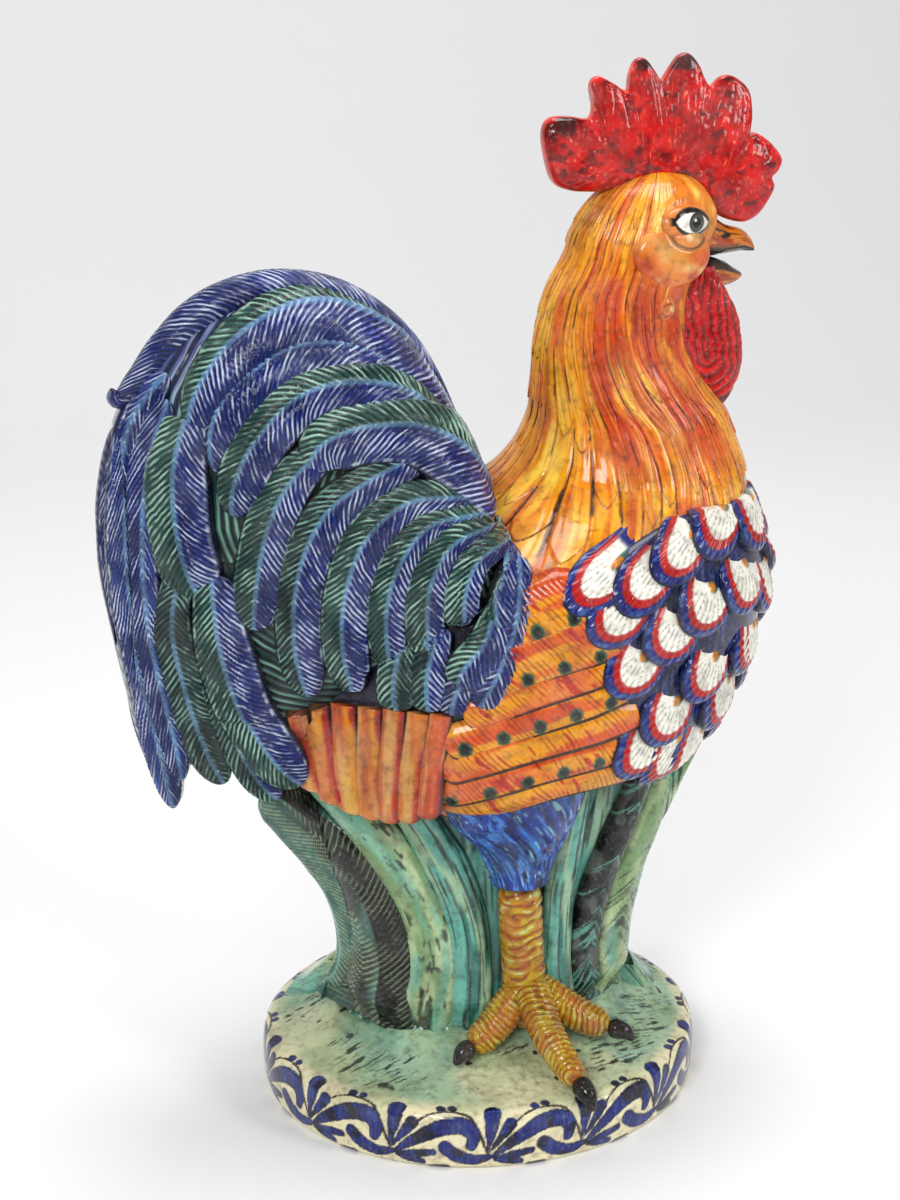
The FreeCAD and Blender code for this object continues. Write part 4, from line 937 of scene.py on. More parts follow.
def make_plate(glaze):
    """Raised dark ground under the scales: a patch of the body's skin with a rounded border."""
    line, _ = curve(list(PATCH) + [PATCH[0]], 2.0)
    line = line[:-1][: (len(line) - 1) // 2 * 2]
    middle = np.array([92.0, 280.0])
    inner = np.linspace(0.02, 1, 70)
    share = np.concatenate([inner, [1.005, 1.0, 0.6, 0.1]])
    rise = np.concatenate([PLATE * arc(inner, power=14), [-1.0, -2.0, -3.0, -3.0]])
    flat = middle + (line[None] - middle) * share[:, None, None]
    x, z = flat[..., 0], flat[..., 1]
    row = BODY(z)
    turn = np.arccos(np.clip((x - row[..., 0]) / row[..., 1], -1, 1))
    paint = brush(tint("navy", turn), z, x, (
        ("cobalt", 0.7, 0.08, 0.5, 66, 0.45, 0.62), ("sky", 0.25, 0.1, 0.7, 67, 0.6, 0.7)))
    skin_pair("shoulder_plate", body_point(turn, z, rise[:, None] + 0 * turn), paint, glaze, "cobalt_glaze")


# Neck, head and face

NECK = Table([(348 + 119 * up, 96 * c, 48 * long, 47 * wide) for up, c, long, wide in (
    (0.000, 0.783, 1.458, 1.247), (0.118, 0.832, 1.270, 1.150), (0.269, 0.838, 1.130, 1.050),
    (0.437, 0.778, 0.960, 0.930), (0.622, 0.726, 0.830, 0.840), (0.815, 0.757, 0.780, 0.790))]
    + [(467 + 42 * up, 80 * c, 40 * long, 35 * wide) for up, c, long, wide in (
        (0.000, 1.030, 0.912, 1.04), (0.200, 1.066, 0.930, 1.01), (0.430, 1.106, 0.890, 0.95),
        (0.690, 1.136, 0.740, 0.80), (0.880, 1.160, 0.520, 0.56), (0.975, 1.170, 0.290, 0.30),
        (1.010, 1.170, 0.100, 0.10))])


STRAND_TURN, TUFT_RUN = 8.2, 46


def hackle_fields(Z, deg):
    """Strand number, place across the strand, place along its tuft and the swept turn."""
    sweep = deg - 0.32 * (np.minimum(Z, 470) - 430) * np.sin(np.radians(deg)) ** 2
    sweep = sweep + 3.0 * noise(Z * 0.03, deg * 0.05, seed=50)
    number = np.floor(sweep / STRAND_TURN)
    t = 2 * (sweep / STRAND_TURN - number) - 1
    start = lattice(number, number * 0, number * 0, 51) * TUFT_RUN
    return number, t, (Z - start - 9 * np.abs(t) ** 1.5) / TUFT_RUN % 1, sweep


CAPE_FOOT = 348


def cape_row(z):
    return np.where((z < CAPE_FOOT)[:, None], BODY(z), NECK(z))


def make_neck(glaze):
    """Neck and head in one skin: strands of hackle, smoother on the face, with a brow over the eye."""
    z = np.linspace(304, 509.3, 320)
    row = cape_row(z)
    soft = sum(cape_row(z + step) for step in np.linspace(-9, 9, 13)) / 13
    row = row + (soft - row) * ramp(-np.abs(z - CAPE_FOOT), -26, -12)[:, None]
    rows = np.column_stack([z, row])
    Z, A = spun(z, 900)
    deg = np.degrees(np.minimum(A, 2 * PI - A))
    number, t, place, sweep = hackle_fields(Z, deg)
    fine = saw(sweep * 0.30 + noise(Z * 0.05, sweep * 0.2, seed=52) * 1.5)
    lift = 0.9 * arc(t) - 0.6 + 0.8 * (1 - place) ** 4
    lift = lift - 0.55 * ramp(fine, 0.5, 1.0) * marks(Z * 0.04, sweep * 0.1, 49, 0.3, 0.6)
    hem = 352 - 39 * ramp(deg, 30, 70) - 3 * (1 - t ** 2)
    lift = lift + 1.6 * ramp(Z, 380, 350)
    lift = (lift + 2.0) * ramp(Z - hem, -1.2, 1.6) - 2.0
    face = np.maximum(ramp(-deg, -76, -58) * ramp(Z, 396, 410), ramp(-deg, -112, -84) * ramp(Z, 446, 470))
    lift = lift * (1 - 0.85 * face * ramp(Z, 430, 445))
    around = np.hypot(row[:, :1] + row[:, 1:2] * np.cos(A) - 101, (Z - 483) * 1.1)
    brow = bell(around - 19, 3.6) * ramp(Z, 468, 484) * ramp(deg, 18, 34)
    lift = (lift + 2.0 * brow) * ramp(-Z, -508, -494)
    grid = ringed(rows, A, lift)
    mouth = ramp(grid[..., 0], 112, 117) * ramp(-np.abs(Z - 461), -5.0, -3.0)
    paint = hackle_paint(Z, deg, number, t, place, sweep, fine, face)
    paint = lay(lay(paint, "maroon", 0.9 * mouth), "gold", 0.6 * brow)
    paint = brush(paint, Z, A, (("cream", 0.5 * brow, 0.1, 6, 48, 0.5, 0.7),)) * WARM * (1.14, 1.22, 0.80)
    skin("neck_and_head_glazed", grid, paint, glaze, ("neck_shell", "head"))


def hackle_paint(Z, deg, number, t, place, sweep, fine, face):
    """Long uneven strokes of yellow, orange and red-brown, lighter on the face and at the foot, where a
    painted highlight lies.
    """
    middle = ramp(Z, 362, 395) * ramp(-Z, -480, -450) * ramp(-np.abs(deg - 90), -72, -40)
    foot, back = ramp(-Z, -372, -342), ramp(deg, 116, 140)
    rim = np.maximum(ramp(np.abs(t), 0.78, 0.92), ramp(-place, -0.03, 0.0))
    paint = brush(tint("gold", Z), Z, sweep + 16 * noise(Z * 0.02, sweep * 0.03, seed=53), (
        ("peach", 0.5, 0.018, 0.06, 54, 0.35, 0.60), ("yellow", 0.8, 0.028, 0.06, 55, 0.38, 0.56, 9),
        ("cream", 0.5, 0.03, 0.08, 65, 0.56, 0.70, 20), ("orange", 0.8, 0.016, 0.07, 56, 0.42, 0.60, 30),
        ("ember", 0.22 + 0.50 * middle, 0.034, 0.10, 57, 0.42, 0.58, 60),
        ("rust", 0.45 * middle, 0.045, 0.16, 62, 0.50, 0.66, 90),
        ("yellow", 0.7 * np.maximum(foot, back), 0.03, 0.10, 63, 0.30, 0.5),
        # Cream at the foot is a painted highlight.
        ("cream", 0.30 * foot, 0.05, 0.12, 64, 0.40, 0.6),
        ("ember", 0.55 * foot, 0.05, 0.20, 47, 0.52, 0.66)))
    paint = brush(paint, Z, sweep, (
        ("cream", 0.22, 0.03, 0.45, 68, 0.55, 0.74), ("ember", 0.40, 0.03, 0.45, 69, 0.54, 0.70, 40),
        ("rust", 0.35 * ramp(fine, 0.72, 1.0), 0.04, 0.3, 58, 0.45, 0.6)))
    paint = brush(paint, Z, number, (
        ("rust", 0.6 * rim, 0.05, 1.7, 46, 0.40, 0.60), ("brown", 0.9 * rim, 0.08, 1.7, 59, 0.56, 0.66)))
    paint = brush(lay(paint, "peach", 0.5 * face), Z, sweep, (
        ("cream", 0.3 * face, 0.05, 0.08, 66, 0.45, 0.62),
        ("ember", 0.75 * face, 0.06, 0.10, 60, 0.46, 0.64)))
    paint = lay(paint, "gold", face * ramp(Z, 474, 490) * 0.6)
    speck = ramp(noise(sweep * 0.9, Z * 0.35, seed=61), 0.86, 0.9) * face * ramp(-Z, -440, -430)
    return lay(paint, "black", 0.9 * speck)


COMB = (
    (58, 498.5), (46, 499.5), (37, 504), (32.5, 517), (31, 530), (35, 536.5), (45, 537), (56, 536),
    (57.5, 545), (56, 553), (60, 556.5), (68, 553), (75.5, 549), (77, 558), (80, 564), (85, 564.5),
    (90, 559), (94, 554), (98.5, 560), (103, 565.5), (108.5, 566.5), (114, 561), (117.5, 554),
    (121, 550), (127, 554.5), (134, 554), (142, 547), (144, 536), (143, 525), (147.5, 525),
    (155, 520), (161.5, 512), (160, 506), (156.5, 502), (158, 497), (155, 490), (150, 483),
    (144, 479.5), (138, 479.5), (130, 482), (124, 486), (120, 493), (110, 498), (100, 500),
    (85, 501), (72, 499),
)


def make_comb(glaze):
    """Saw-edged plate: rings that shrink from the outline to a spine, bulging to both sides."""
    line, run = curve(list(COMB) + [COMB[0]], 0.8)
    line, run = line[:-1], run[:-1]
    phi = np.linspace(0.0, PI, 116)
    face = (-np.sign(np.cos(phi)) * np.abs(np.cos(phi)) ** 0.62)[:, None]
    spine_x = np.clip(95 + (line[:, 0] - 95) * 0.72, 52, 140)
    spine = np.stack([spine_x, 514 - 8 * ramp(spine_x, 105, 140)], 1)
    R, S = np.meshgrid(run, np.sin(phi) ** 0.72)
    flat = spine + (line - spine) * S[..., None]
    x, z = flat[..., 0], flat[..., 1]
    reach = np.linalg.norm(flat - spine, axis=-1)
    left = np.linalg.norm(line - spine, axis=-1) - reach
    vein = saw(R * 0.16 + noise(R * 0.05, S * 2, seed=80) * 1.6)
    relief = 0.7 * cloud(x * 0.35, z * 0.35, 0, 81) - 0.5 + 0.55 * bell(left - 2.2, 0.9)
    relief = relief - 0.3 * ramp(vein, 0.6, 1.0) * ramp(left, 2, 7) * ramp(S, 0.35, 0.6)
    Y = face * (10.3 - 3.6 * ramp(reach, 8, 42) + relief * np.abs(face) ** 0.5)
    grid = np.stack([np.minimum(x, 161.5), Y, z], -1)
    tips = np.maximum(ramp(z, 545, 562), ramp(-x, -58, -44) * ramp(z, 518, 534))
    paint = brush(tint("crimson", R), x, z, (("red", 0.8, 0.12, 0.12, 82, 0.4, 0.62),))
    paint = lay(paint, "maroon", 0.30 * ramp(vein, 0.6, 1.0) * ramp(left, 1, 6) * ramp(S, 0.4, 0.7))
    paint = brush(paint, x, z, (("maroon", 0.6, 0.2, 0.3, 86, 0.6, 0.75),))
    paint = brush(paint, S, R, (("pink", 0.4 * ramp(left, 2, 8), 7, 0.30, 83, 0.76, 0.82),))
    paint = brush(paint, x, z, (
        ("cream", 0.5, 0.5, 0.5, 84, 0.80, 0.86), ("maroon", 0.85 * tips, 0.12, 0.16, 85, 0.35, 0.6)))
    paint = lay(paint, "pink", 0.5 * ramp(-left, -0.9, -0.3)) * (1.4, 0.65, 0.5)
    add_mesh("comb_glazed", grid.reshape(-1, 3), grid_faces(*R.shape),
             {"pigment": paint.reshape(-1, 3)}, glaze, ("comb",))


WATTLE = Table([(100 * z, 100 * x, 100 * half, 6.5 * thick) for z, x, half, thick in (
    (4.60, 1.14, 0.07, 0.50), (4.50, 1.12, 0.145, 0.80), (4.38, 1.13, 0.205, 0.95),
    (4.25, 1.145, 0.23, 1.00), (4.12, 1.165, 0.222, 1.00), (4.00, 1.185, 0.185, 0.92),
    (3.90, 1.20, 0.125, 0.75), (3.83, 1.21, 0.05, 0.45))])


def make_wattle(glaze):
    rows, Z, A = level(WATTLE, 383.3, 459.5, 130, 150)
    reach = np.hypot(rows[:, 2:3] * np.cos(A), np.minimum(0, Z - 412))
    wave = np.cos(reach * 2 * PI / 4.6 + noise(Z * 0.15, A * 2, seed=86) * 4.5)
    grid = ringed(rows, A, 0.35 * wave + 0.5 * noise(Z * 0.5, A * 7, seed=78) - 0.6, y=-15)
    paint = lay(tint("crimson", Z), "maroon", 0.6 * ramp(-wave, 0.3, 0.95))
    paint = brush(paint, Z, A, (
        ("red", 0.7 * ramp(wave, 0.3, 1.0), 0.2, 4, 87, 0.4, 0.6), ("pink", 0.5, 0.7, 9, 88, 0.78, 0.84)))
    paint = lay(paint, "maroon", 0.8 * ramp(-Z, -394, -386)) * (1.6, 0.75, 0.6)
    skin_pair("wattle", grid, paint, glaze, "comb_red_glaze")


BEAKS = {
    "beak_upper": ((110, 462, 485, 1.00), (122, 462, 484, 1.00), (132, 463, 478.5, 0.78),
                   (141, 464, 475.5, 0.52), (147, 463.5, 470, 0.24), (149, 463.5, 466, 0.10)),
    "beak_lower": ((110, 444, 463, 0.92), (122, 444, 462.5, 0.90), (132, 445.5, 459, 0.70),
                   (138, 447.5, 455, 0.46), (142, 449.5, 452.5, 0.16)),
}


def make_beak(glaze):
    for name, rows in BEAKS.items():
        X, A = spun(np.linspace(rows[0][0], rows[-1][0], 90), 96)
        low, high, wide = Table(rows)(X[:, 0]).T[..., None]
        groove = 0.35 * marks(X * 0.08, A * 5, 90, 0.45, 0.65)
        Z = (low + high) / 2 + ((high - low) / 2 - groove) * np.cos(A)
        Y = (12 * wide - groove) * np.sin(A)
        upper = name == "beak_upper"
        paint = brush(tint("gold", X), X, A, (
            ("peach", 0.6, 0.06, 3, 91, 0.35, 0.6), ("rust", 0.75, 0.07, 5, 92, 0.5, 0.66),
            ("brown", 0.8, 0.07, 8, 93, 0.6, 0.7)))
        paint = lay(paint, "black", 0.85 * ramp(-np.cos(A) if upper else np.cos(A), 0.25, 0.5))
        nostril = ramp(-np.hypot((X - 129) / 3.2, (Z - 474) / 1.3), -1.2, -0.8) * (np.abs(Y) > 4) * upper
        paint = lay(paint, "black", 0.9 * nostril)
        skin(name + "_glazed", np.stack([X, Y, Z], -1), paint, glaze, (name,))


def lump(centre, high, long, thick, turn, power, relief=None):
    """Oval swelling on the right side of the face. Returns the grid and its two flat places in mm."""
    P, A = spun(np.linspace(0.01, PI - 0.01, 90), 110)
    s, t = np.sin(P) * np.cos(A) * long, np.sin(P) * np.sin(A) * high
    n = np.sign(np.cos(P)) * np.abs(np.cos(P)) ** power * thick
    if relief:
        n = n + relief(s, t) * (np.cos(P) > 0)
    c, d = math.cos(math.radians(turn)), math.sin(math.radians(turn))
    return np.stack([centre[0] + s * c + n * d, centre[1] + s * d - n * c, centre[2] + t], -1), s, t


def cheek_fold(s, t):
    """Distance from the curved fold that parts the cheek pouch."""
    return np.hypot(s - 8, t - 17) - 13


def make_face(glaze):
    """Eye with its rim, cheek pouch and ear lobe."""
    grid, s, t = lump((98.5, -29.5, 485.5), 9.0, 15.0, 5.6, 18, 0.8)
    away = np.abs(t - 0.5 + 0.10 * (s - 1.5)) - 5.6 * np.clip(1 - ((s - 1.5) / 11.0) ** 2, 0, 1) ** 0.75
    iris = np.hypot(s - 3.6, t - 0.4) * 0.95
    inside, disc = ramp(-away, 0.0, 0.5), ramp(-iris, -4.6, -4.1)
    liner = ramp(-np.abs(away - 0.8), -1.3 - 0.5 * (t > 0), -0.8) * ramp(s, -13.5, -10.5)
    paint = brush(tint("peach", s), s, t, (("gold", 0.6, 0.1, 0.2, 89, 0.45, 0.65),))
    for name, share in (
            ("white", ramp(-away, -0.3, 0.3)), ("grey", inside * disc), ("black", 0.3 * inside * disc),
            ("black", inside * np.maximum(ramp(-iris, -2.8, -2.3), bell(iris - 4.3, 0.5))),
            # The small white spot on the pupil is a painted catchlight.
            ("white", inside * ramp(-np.hypot(s - 2.6, t - 1.8), -1.1, -0.7)), ("black", liner)):
        paint = lay(paint, name, share)
    skin_pair("eye", grid, np.where((away > 1.6)[..., None], paint * WARM, paint), glaze, "eye_white_glaze")

    grid, s, t = lump((91.0, -27.0, 469), 17.0, 22.5, 10.0, 10, 0.6, lambda s, t: (
        1.2 * noise(s * 0.10, t * 0.12, seed=95) - 0.8 * bell(cheek_fold(s, t), 1.0)))
    # rim: the pouch's lower rim, where ember lays rust-red streaks and painted shade.
    rim = ramp(np.hypot(s / 20.0, t / 15.0), 0.50, 0.85) * ramp(-t, -6, 4)
    paint = brush(tint("peach", s), s, t, (
        # The cream marks over the pouch are painted highlight.
        ("cream", 0.6, 0.06, 0.08, 96, 0.4, 0.62), ("gold", 0.5, 0.05, 0.06, 97, 0.45, 0.66, 0, 4),
        ("ember", 0.8 * rim, 0.10, 0.14, 98, 0.25, 0.5), ("orange", 0.6, 0.06, 0.12, 99, 0.48, 0.68)))
    paint = lay(paint, "brown", 0.8 * bell(cheek_fold(s, t), 0.7))
    skin_pair("cheek", grid, paint * WARM, glaze, "hackle_orange_glaze")

    grid, s, t = lump((87.5, -31, 443), 7.0, 6.0, 5.0, 8, 0.7)
    paint = lay(tint("peach", s), "pink", 0.3 + 0 * s)
    paint = lay(paint, "rust", 0.7 * bell(np.hypot(s - 0.5, t + 1) - 3.2, 0.9))
    paint = brush(paint, s, t, (("cream", 0.6, 0.3, 0.2, 94, 0.5, 0.7),))
    skin_pair("ear_lobe", grid, paint * WARM, glaze, "hackle_orange_glaze")


# Legs

THIGH = Table([(206.7, 3.8, 45.0, 34.0), (180.1, 4.7, 37.0, 29.5), (155.0, 9.0, 21.5, 19.5),
               (136.5, 9.0, 14.8, 14.2)])
LEG_Y = -47.0


def make_thigh(glaze):
    rows, Z, A = level(THIGH, 135.8, 206.5, 130, 260)
    run = A * 27
    way = noise(Z * 0.03, run * 0.03, seed=110) * 3 - 1.5
    slow, quick = Z + way * 6, run - Z * 0.35 + way * 2
    tuft = marks(slow * 0.10, quick * 0.42, 111, 0.50, 0.66)
    hem = 1.2 * ramp(-Z, -141, -137) - 4 * ramp(-Z, -137.2, -135.8)
    paint = lay(tint("cobalt", Z), "sky", 0.12 + 0 * Z)
    paint = brush(paint, Z, run, (("teal", 0.35, 0.05, 0.05, 112, 0.4, 0.7),))
    paint = brush(paint, slow, quick, (
        ("navy", 0.6, 0.08, 0.3, 113, 0.5, 0.66), ("sky", 0.60, 0.13, 0.55, 114, 0.54, 0.70),
        ("white", 0.5, 0.16, 0.6, 115, 0.73, 0.80)))
    skin_pair("thigh", ringed(rows, A, tuft - 0.6 + hem, y=LEG_Y), paint * (0.7, 1.2, 1.3), glaze,
              "thigh_blue_glaze")


def wrinkled(R, A, pitch, seed):
    """Cross wrinkles of a bird's leg: 0 on the ridge, 1 in the groove."""
    return saw((R + 1.6 * np.sin(A * 2) + noise(R * 0.25, A * 1.5, seed=seed) * pitch * 0.8) / pitch)


def leg_paint(R, A, pitch, seed):
    # The cream laid on the wrinkle ridges is a painted highlight; rust lies in the grooves.
    groove = wrinkled(R, A, pitch, seed)
    return brush(tint("gold", R), R, A, (
        ("yellow", 0.6, 0.08, 2, seed + 1, 0.4, 0.62),
        ("cream", 0.65 * ramp(-groove, -0.35, -0.05), 0.2, 2.5, seed + 2, 0.4, 0.6),
        ("rust", 0.85 * ramp(groove, 0.5, 0.95), 0.1, 2.2, seed + 3, 0.3, 0.5),
        ("orange", 0.5, 0.12, 2.4, seed + 4, 0.5, 0.7))) * (0.80, 1.12, 0.9)


TOES = (
    (((0, -2, 28), (3, -24, 9), (8, -42, -2), (12, -57, -8)), (10.5, 9.8, 8.4, 7.0),
     ((11.5, -55, -7.5), (15, -64.5, -12), (16.5, -68, -20)), (6.3, 4.9, 1.5)),
    (((0, 0, 24), (24, -11, 8), (42, -19, 0)), (10.5, 9.8, 8.4),
     ((41, -18.5, 0), (49, -23, -1), (54, -26, -6)), (6.3, 4.8, 1.4)),
    (((0, 0, 24), (-20, -10, 7), (-37, -20, 0)), (10.5, 9.8, 8.4),
     ((-36, -19.5, 0), (-43, -23, -1), (-48, -26, -6)), (6.3, 4.8, 1.4)),
)


def make_legs(glaze):
    make_thigh(glaze)
    path = [(x, LEG_Y, z) for x, z in ((9.0, 137.0), (10.5, 108.0), (12.5, 75.0), (14.0, 47.0))]
    grid, R, A = limb(path, (12.4, 12.0, 12.2, 14.2), columns=110, relief=lambda R, A: (
        -0.9 * ramp(wrinkled(R, A, 6.2, 120), 0.3, 1.0) * (0.35 + 0.65 * ramp(np.cos(A), -0.6, 0.4))))
    skin_pair("shank", grid, leg_paint(R, A, 6.2, 120), glaze, "leg_ochre_glaze")
    toes, claws = Batch(), Batch()
    start = np.array([13.98, LEG_Y, 49.7])
    for k, (toe, girths, claw, thin) in enumerate(TOES):
        grid, R, A = limb(start + toe, girths, columns=72,
                          relief=lambda R, A: -0.6 * ramp(wrinkled(R, A, 3.4, 130 + k), 0.3, 1.0))
        toes.add_skin(grid, leg_paint(R, A, 3.4, 130 + k))
        grid, R, A = limb(start + claw, thin, 0.5, 48, lambda R, A: 0.2 * noise(R * 0.6, A * 3, seed=140))
        claws.add_skin(grid, brush(tint("black", R), R, A, (("brown", 0.8, 0.3, 2, 141, 0.4, 0.65),)))
    toes.pair("toes", glaze, "leg_ochre_glaze")
    claws.pair("claws", glaze, "claw_black_glaze")


# Fronds and trunk
# Path (x and z by turns) from the tip down, width, lift, quill place.

FRONDS = {
    "frond_rear_dark": ((-120, 184, -103, 167, -79, 140, -66, 110, -63, 80, -71, 50), 38, 3.0, 0.3),
    "frond_rear_pale": ((-96, 198, -76, 178, -54, 148, -39, 114, -35, 82, -43, 50), 25, 1.5, 0.0),
    "frond_rear_teal": ((-58, 194, -42, 170, -27, 140, -18, 110, -16, 80, -20, 50), 26, 0.5, 0.2),
    "frond_front_teal": ((46, 190, 41, 166, 36, 136, 33.5, 106, 32.5, 78, 33, 50), 20, 0.5, 0.2),
    "frond_front_black": ((92, 205, 79, 174, 64, 138, 54, 106, 49, 78, 52, 50), 18, 1.5, 0.0),
    "frond_front_pale": ((129, 203, 110, 172, 90, 136, 77, 106, 71, 78, 75, 50), 26, 1.5, -0.3),
}


def frond_shape(width, u):
    grow = 0.62 + 0.38 * np.clip(u / 0.35, 0, 1) + 0.25 * ramp(u, 0.85, 1.0)
    return width / 2 * grow * arc(np.clip(1 - u / 0.07, 0, 1), 0.02)


def barbs(R, cross):
    """Slanting cuts of a frond: 0 on the ridge, 1 in the cut."""
    return saw(R * 0.28 + np.abs(cross) * 0.36 + noise(R * 0.05, cross * 0.1, seed=150))


def frond_paint(name, fields):
    """Dark and pale fronds are hatched across, teal ones are streaked along."""
    R, c, q, T = (fields[k] for k in ("along", "cross", "quill", "T"))
    slant = R - np.abs(q) * 1.5
    if name == "frond_rear_dark":
        line = barbs(R, c)
        outer = brush(lay(tint("ink_green", R), "grey", 0.30 + 0 * R), R, c, (
            ("aqua", 0.35, 0.03, 0.1, 149, 0.35, 0.65),
            ("leaf", 0.7 * ramp(-line, -0.45, -0.15), 0.05, 0.3, 151, 0.3, 0.55)))
        inner = brush(tint("black", R), R, c, (
            ("leaf", 0.55 * ramp(-line, -0.35, -0.1), 0.05, 0.2, 152, 0.3, 0.5),))
        return lay(np.where((q > 0)[:, None], inner, outer), "aqua", 0.5 * ramp(np.abs(T), 0.94, 0.99))
    if name == "frond_front_black":
        paint = brush(tint("ink_green", R), R, c, (("grey", 0.6, 0.12, 0.3, 153, 0.5, 0.7),))
        return brush(paint, slant, q, (("aqua", 0.7, 0.45, 0.08, 154, 0.64, 0.74),))
    if name.endswith("pale"):
        front = name == "frond_front_pale"
        hatch = marks(slant * (0.42 if front else 0.10), q * (0.06 if front else 0.5), 157, 0.60, 0.68)
        paint = brush(tint("leaf", R), R, c, (
            ("moss", 0.8, 0.04, 0.2, 155, 0.4, 0.65), ("aqua", 0.6, 0.03, 0.15, 156, 0.45, 0.7),
            ("ink_green", 0.8 * hatch, 0.05, 0.1, 158, 0.3, 0.55)))
        return lay(paint, "teal" if front else "ink_green", 0.8 * ramp(T if front else -T, 0.86, 0.95))
    paint = lay(tint("teal", R), "aqua", 0.25 + 0.65 * marks(R * 0.03, c * 0.22, 160, 0.40, 0.60))
    paint = brush(paint, R, c, (
        ("leaf", 0.6, 0.03, 0.30, 159, 0.50, 0.66), ("ink_green", 0.7, 0.03, 0.9, 161, 0.60, 0.70)))
    return lay(paint, "ink_green", 0.8 * ramp(np.abs(T), 0.88, 0.97))


def streaks(R, cross, T):
    return -0.8 * marks(R * 0.04, cross * 0.45, 162, 0.45, 0.65)


def cuts(R, cross, T):
    return -0.6 * ramp(barbs(R, cross), 0.5, 1.0) + 0.5 * streaks(R, cross, T)


FROND_SLOTS = {"dark": "black_green_glaze", "black": "black_green_glaze", "pale": "pale_green_glaze",
               "teal": "grass_teal_glaze"}


def make_fronds(glaze):
    for k, (name, (path, width, base, quill_at)) in enumerate(FRONDS.items()):
        kind = name.split("_")[2]
        points, faces, fields = strip(path, width, trunk_side, 9.0, base, 0.7, 3.5, quill_at=quill_at,
                                      seed=60 + k, shape=frond_shape, dome=2.2,
                                      relief=streaks if kind == "teal" else cuts)
        batch = Batch()
        batch.add(points, faces, {"pigment": frond_paint(name, fields)})
        batch.pair(name, glaze, FROND_SLOTS[kind])


def make_trunk(glaze):
    rows, Z, A = level(TRUNK, 38, 201.5, 190, 420)
    run = A * 58
    grid = ringed(rows, A, 1.1 * marks(Z * 0.02, run * 0.16, 170, 0.35, 0.6) - 1.0)
    paint = lay(tint("teal", Z), "aqua", 0.25 + 0.6 * marks(Z * 0.02, run * 0.2, 171, 0.42, 0.62))
    paint = brush(paint, Z, run, (
        ("leaf", 0.5, 0.02, 0.26, 169, 0.50, 0.66), ("ink_green", 0.75, 0.025, 0.8, 172, 0.58, 0.68)))
    # Darker towards the top, under the belly: painted shade.
    paint = lay(paint, "ink_green", 0.6 * ramp(Z, 165, 200))
    skin("support_trunk_glazed", grid, paint, glaze, ("support_trunk",))


# Base

# The rim's scroll is drawn in its own units, one repeat being RIM_REPEAT long.
BASE_LONG, BASE_WIDE, BASE_TOP = 124, 113, 34
RIM_PITCHES, RIM_REPEAT, RIM_SHARE = 14, 62, 0.88
RIM_STROKES = (
    ("brown", ((0, 14, 1.2), (17, 34, 1.5), (33, 43, 1.8), (50, 40, 2.0), (58.6, 25, 2.2), (62, 14, 1.6))),
    ("cobalt", ((2, 11, 2), (15.5, 21.8, 8), (33, 31.7, 11), (46.5, 33.5, 11.5), (53, 28, 10), (52, 20, 7))),
    ("cobalt", ((5, 11, 3), (16, 12.5, 6), (28, 14.5, 5))),
    ("cobalt", ((5, 10, 3), (12, 8.5, 5.5), (21, 7.0, 5))),
    ("cobalt", ((36, 18.5, 10), (43, 13, 10), (53.4, 10, 8), (63, 12, 5))),
    ("navy", ((27, 2.6, 5), (36, 3.2, 5.5))),
    ("cobalt", ((3.4, 43, 12), (2.6, 31, 8), (0.3, 17, 2))),
    ("cobalt", ((14.7, 34, 8.5), (9.5, 26.5, 6), (1.7, 16, 1.5))),
    ("cobalt", ((31.5, 46.5, 6.5), (32.2, 45.0, 6.0))),
    ("cobalt", ((39, 47.5, 6.0), (39.4, 46.5, 5.6))),
)


def stroke_reach(u, v, points):
    """How far inside one tapered brush stroke each place of the rim lies; below 0 outside it."""
    best = np.full(u.shape, -9.0)
    for x, y, wide in curve(points, 1.2)[0]:
        away = np.abs(((u - x) + RIM_REPEAT / 2) % RIM_REPEAT - RIM_REPEAT / 2)
        best = np.maximum(best, wide * 0.5 - np.hypot(away, v - y))
    return best


def make_base(glaze, clay):
    """Shell from the underside up over the rim to the deck's middle; the floor keeps its solid."""
    outline = [(BASE_TOP * up, BASE_LONG * reach, BASE_WIDE * reach) for up, reach in (
        (0.00, 0.965), (0.10, 0.990), (0.55, 1.000), (0.84, 0.992), (0.95, 0.970), (1.00, 0.930))]
    outline += [(BASE_TOP + 15 * up, BASE_LONG * long, BASE_WIDE * wide) for up, long, wide in (
        (0.22, 0.800, 0.740), (0.60, 0.690, 0.570), (1.00, 0.640, 0.440), (1.00, 0.3, 0.2))]
    line, run = curve(outline, 0.75)
    line[:, 0] = np.clip(line[:, 0], 0.0, 49.2)
    under = np.array([(26, 30, 24), (26, 108, 98), (12, 111, 101), (0.15, 112, 102), (0.0, 113, 103)])
    high, long, wide = np.vstack([under, line]).T[..., None]
    V, A = spun(np.concatenate([np.full(len(under), -9.0), run]), 1080)
    turn = A[0]
    step = np.hypot(BASE_LONG * np.sin(turn[1:]), BASE_WIDE * np.cos(turn[1:])) * turn[1]
    way = np.concatenate([[0], np.cumsum(step)])
    U = -way / (way[-1] + 119 * turn[1]) * RIM_PITCHES * RIM_REPEAT + 0 * V
    X, Y = long * np.cos(A), -wide * np.sin(A)
    bump = 0.9 * cloud(X * 0.06, Y * 0.06, 0, 180) - 0.55 + 0.5 * marks(X * 0.3, Y * 0.3, 181, 0.4, 0.7)
    Z = high + ramp(V, 40, 60) * bump
    paint, mark = base_paint(U, V, X, Y)
    drawn_in = 1 - (0.45 - 0.22 * mark) * (V > 0) / np.maximum(np.hypot(X, Y), 1)
    skin("base_shell_glazed", np.stack([X * drawn_in, Y * drawn_in, Z], -1), paint, glaze,
         ("base_shell",))
    make_mound("grass_mound_rear", (-72, 61), (38.0, 33.0, 19), glaze)
    make_mound("grass_mound_front", (88, 22.6), (27.0, 38.0, 24), glaze)
    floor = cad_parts["base_floor"]
    floor.data.materials.clear()
    floor.data.materials.append(clay)


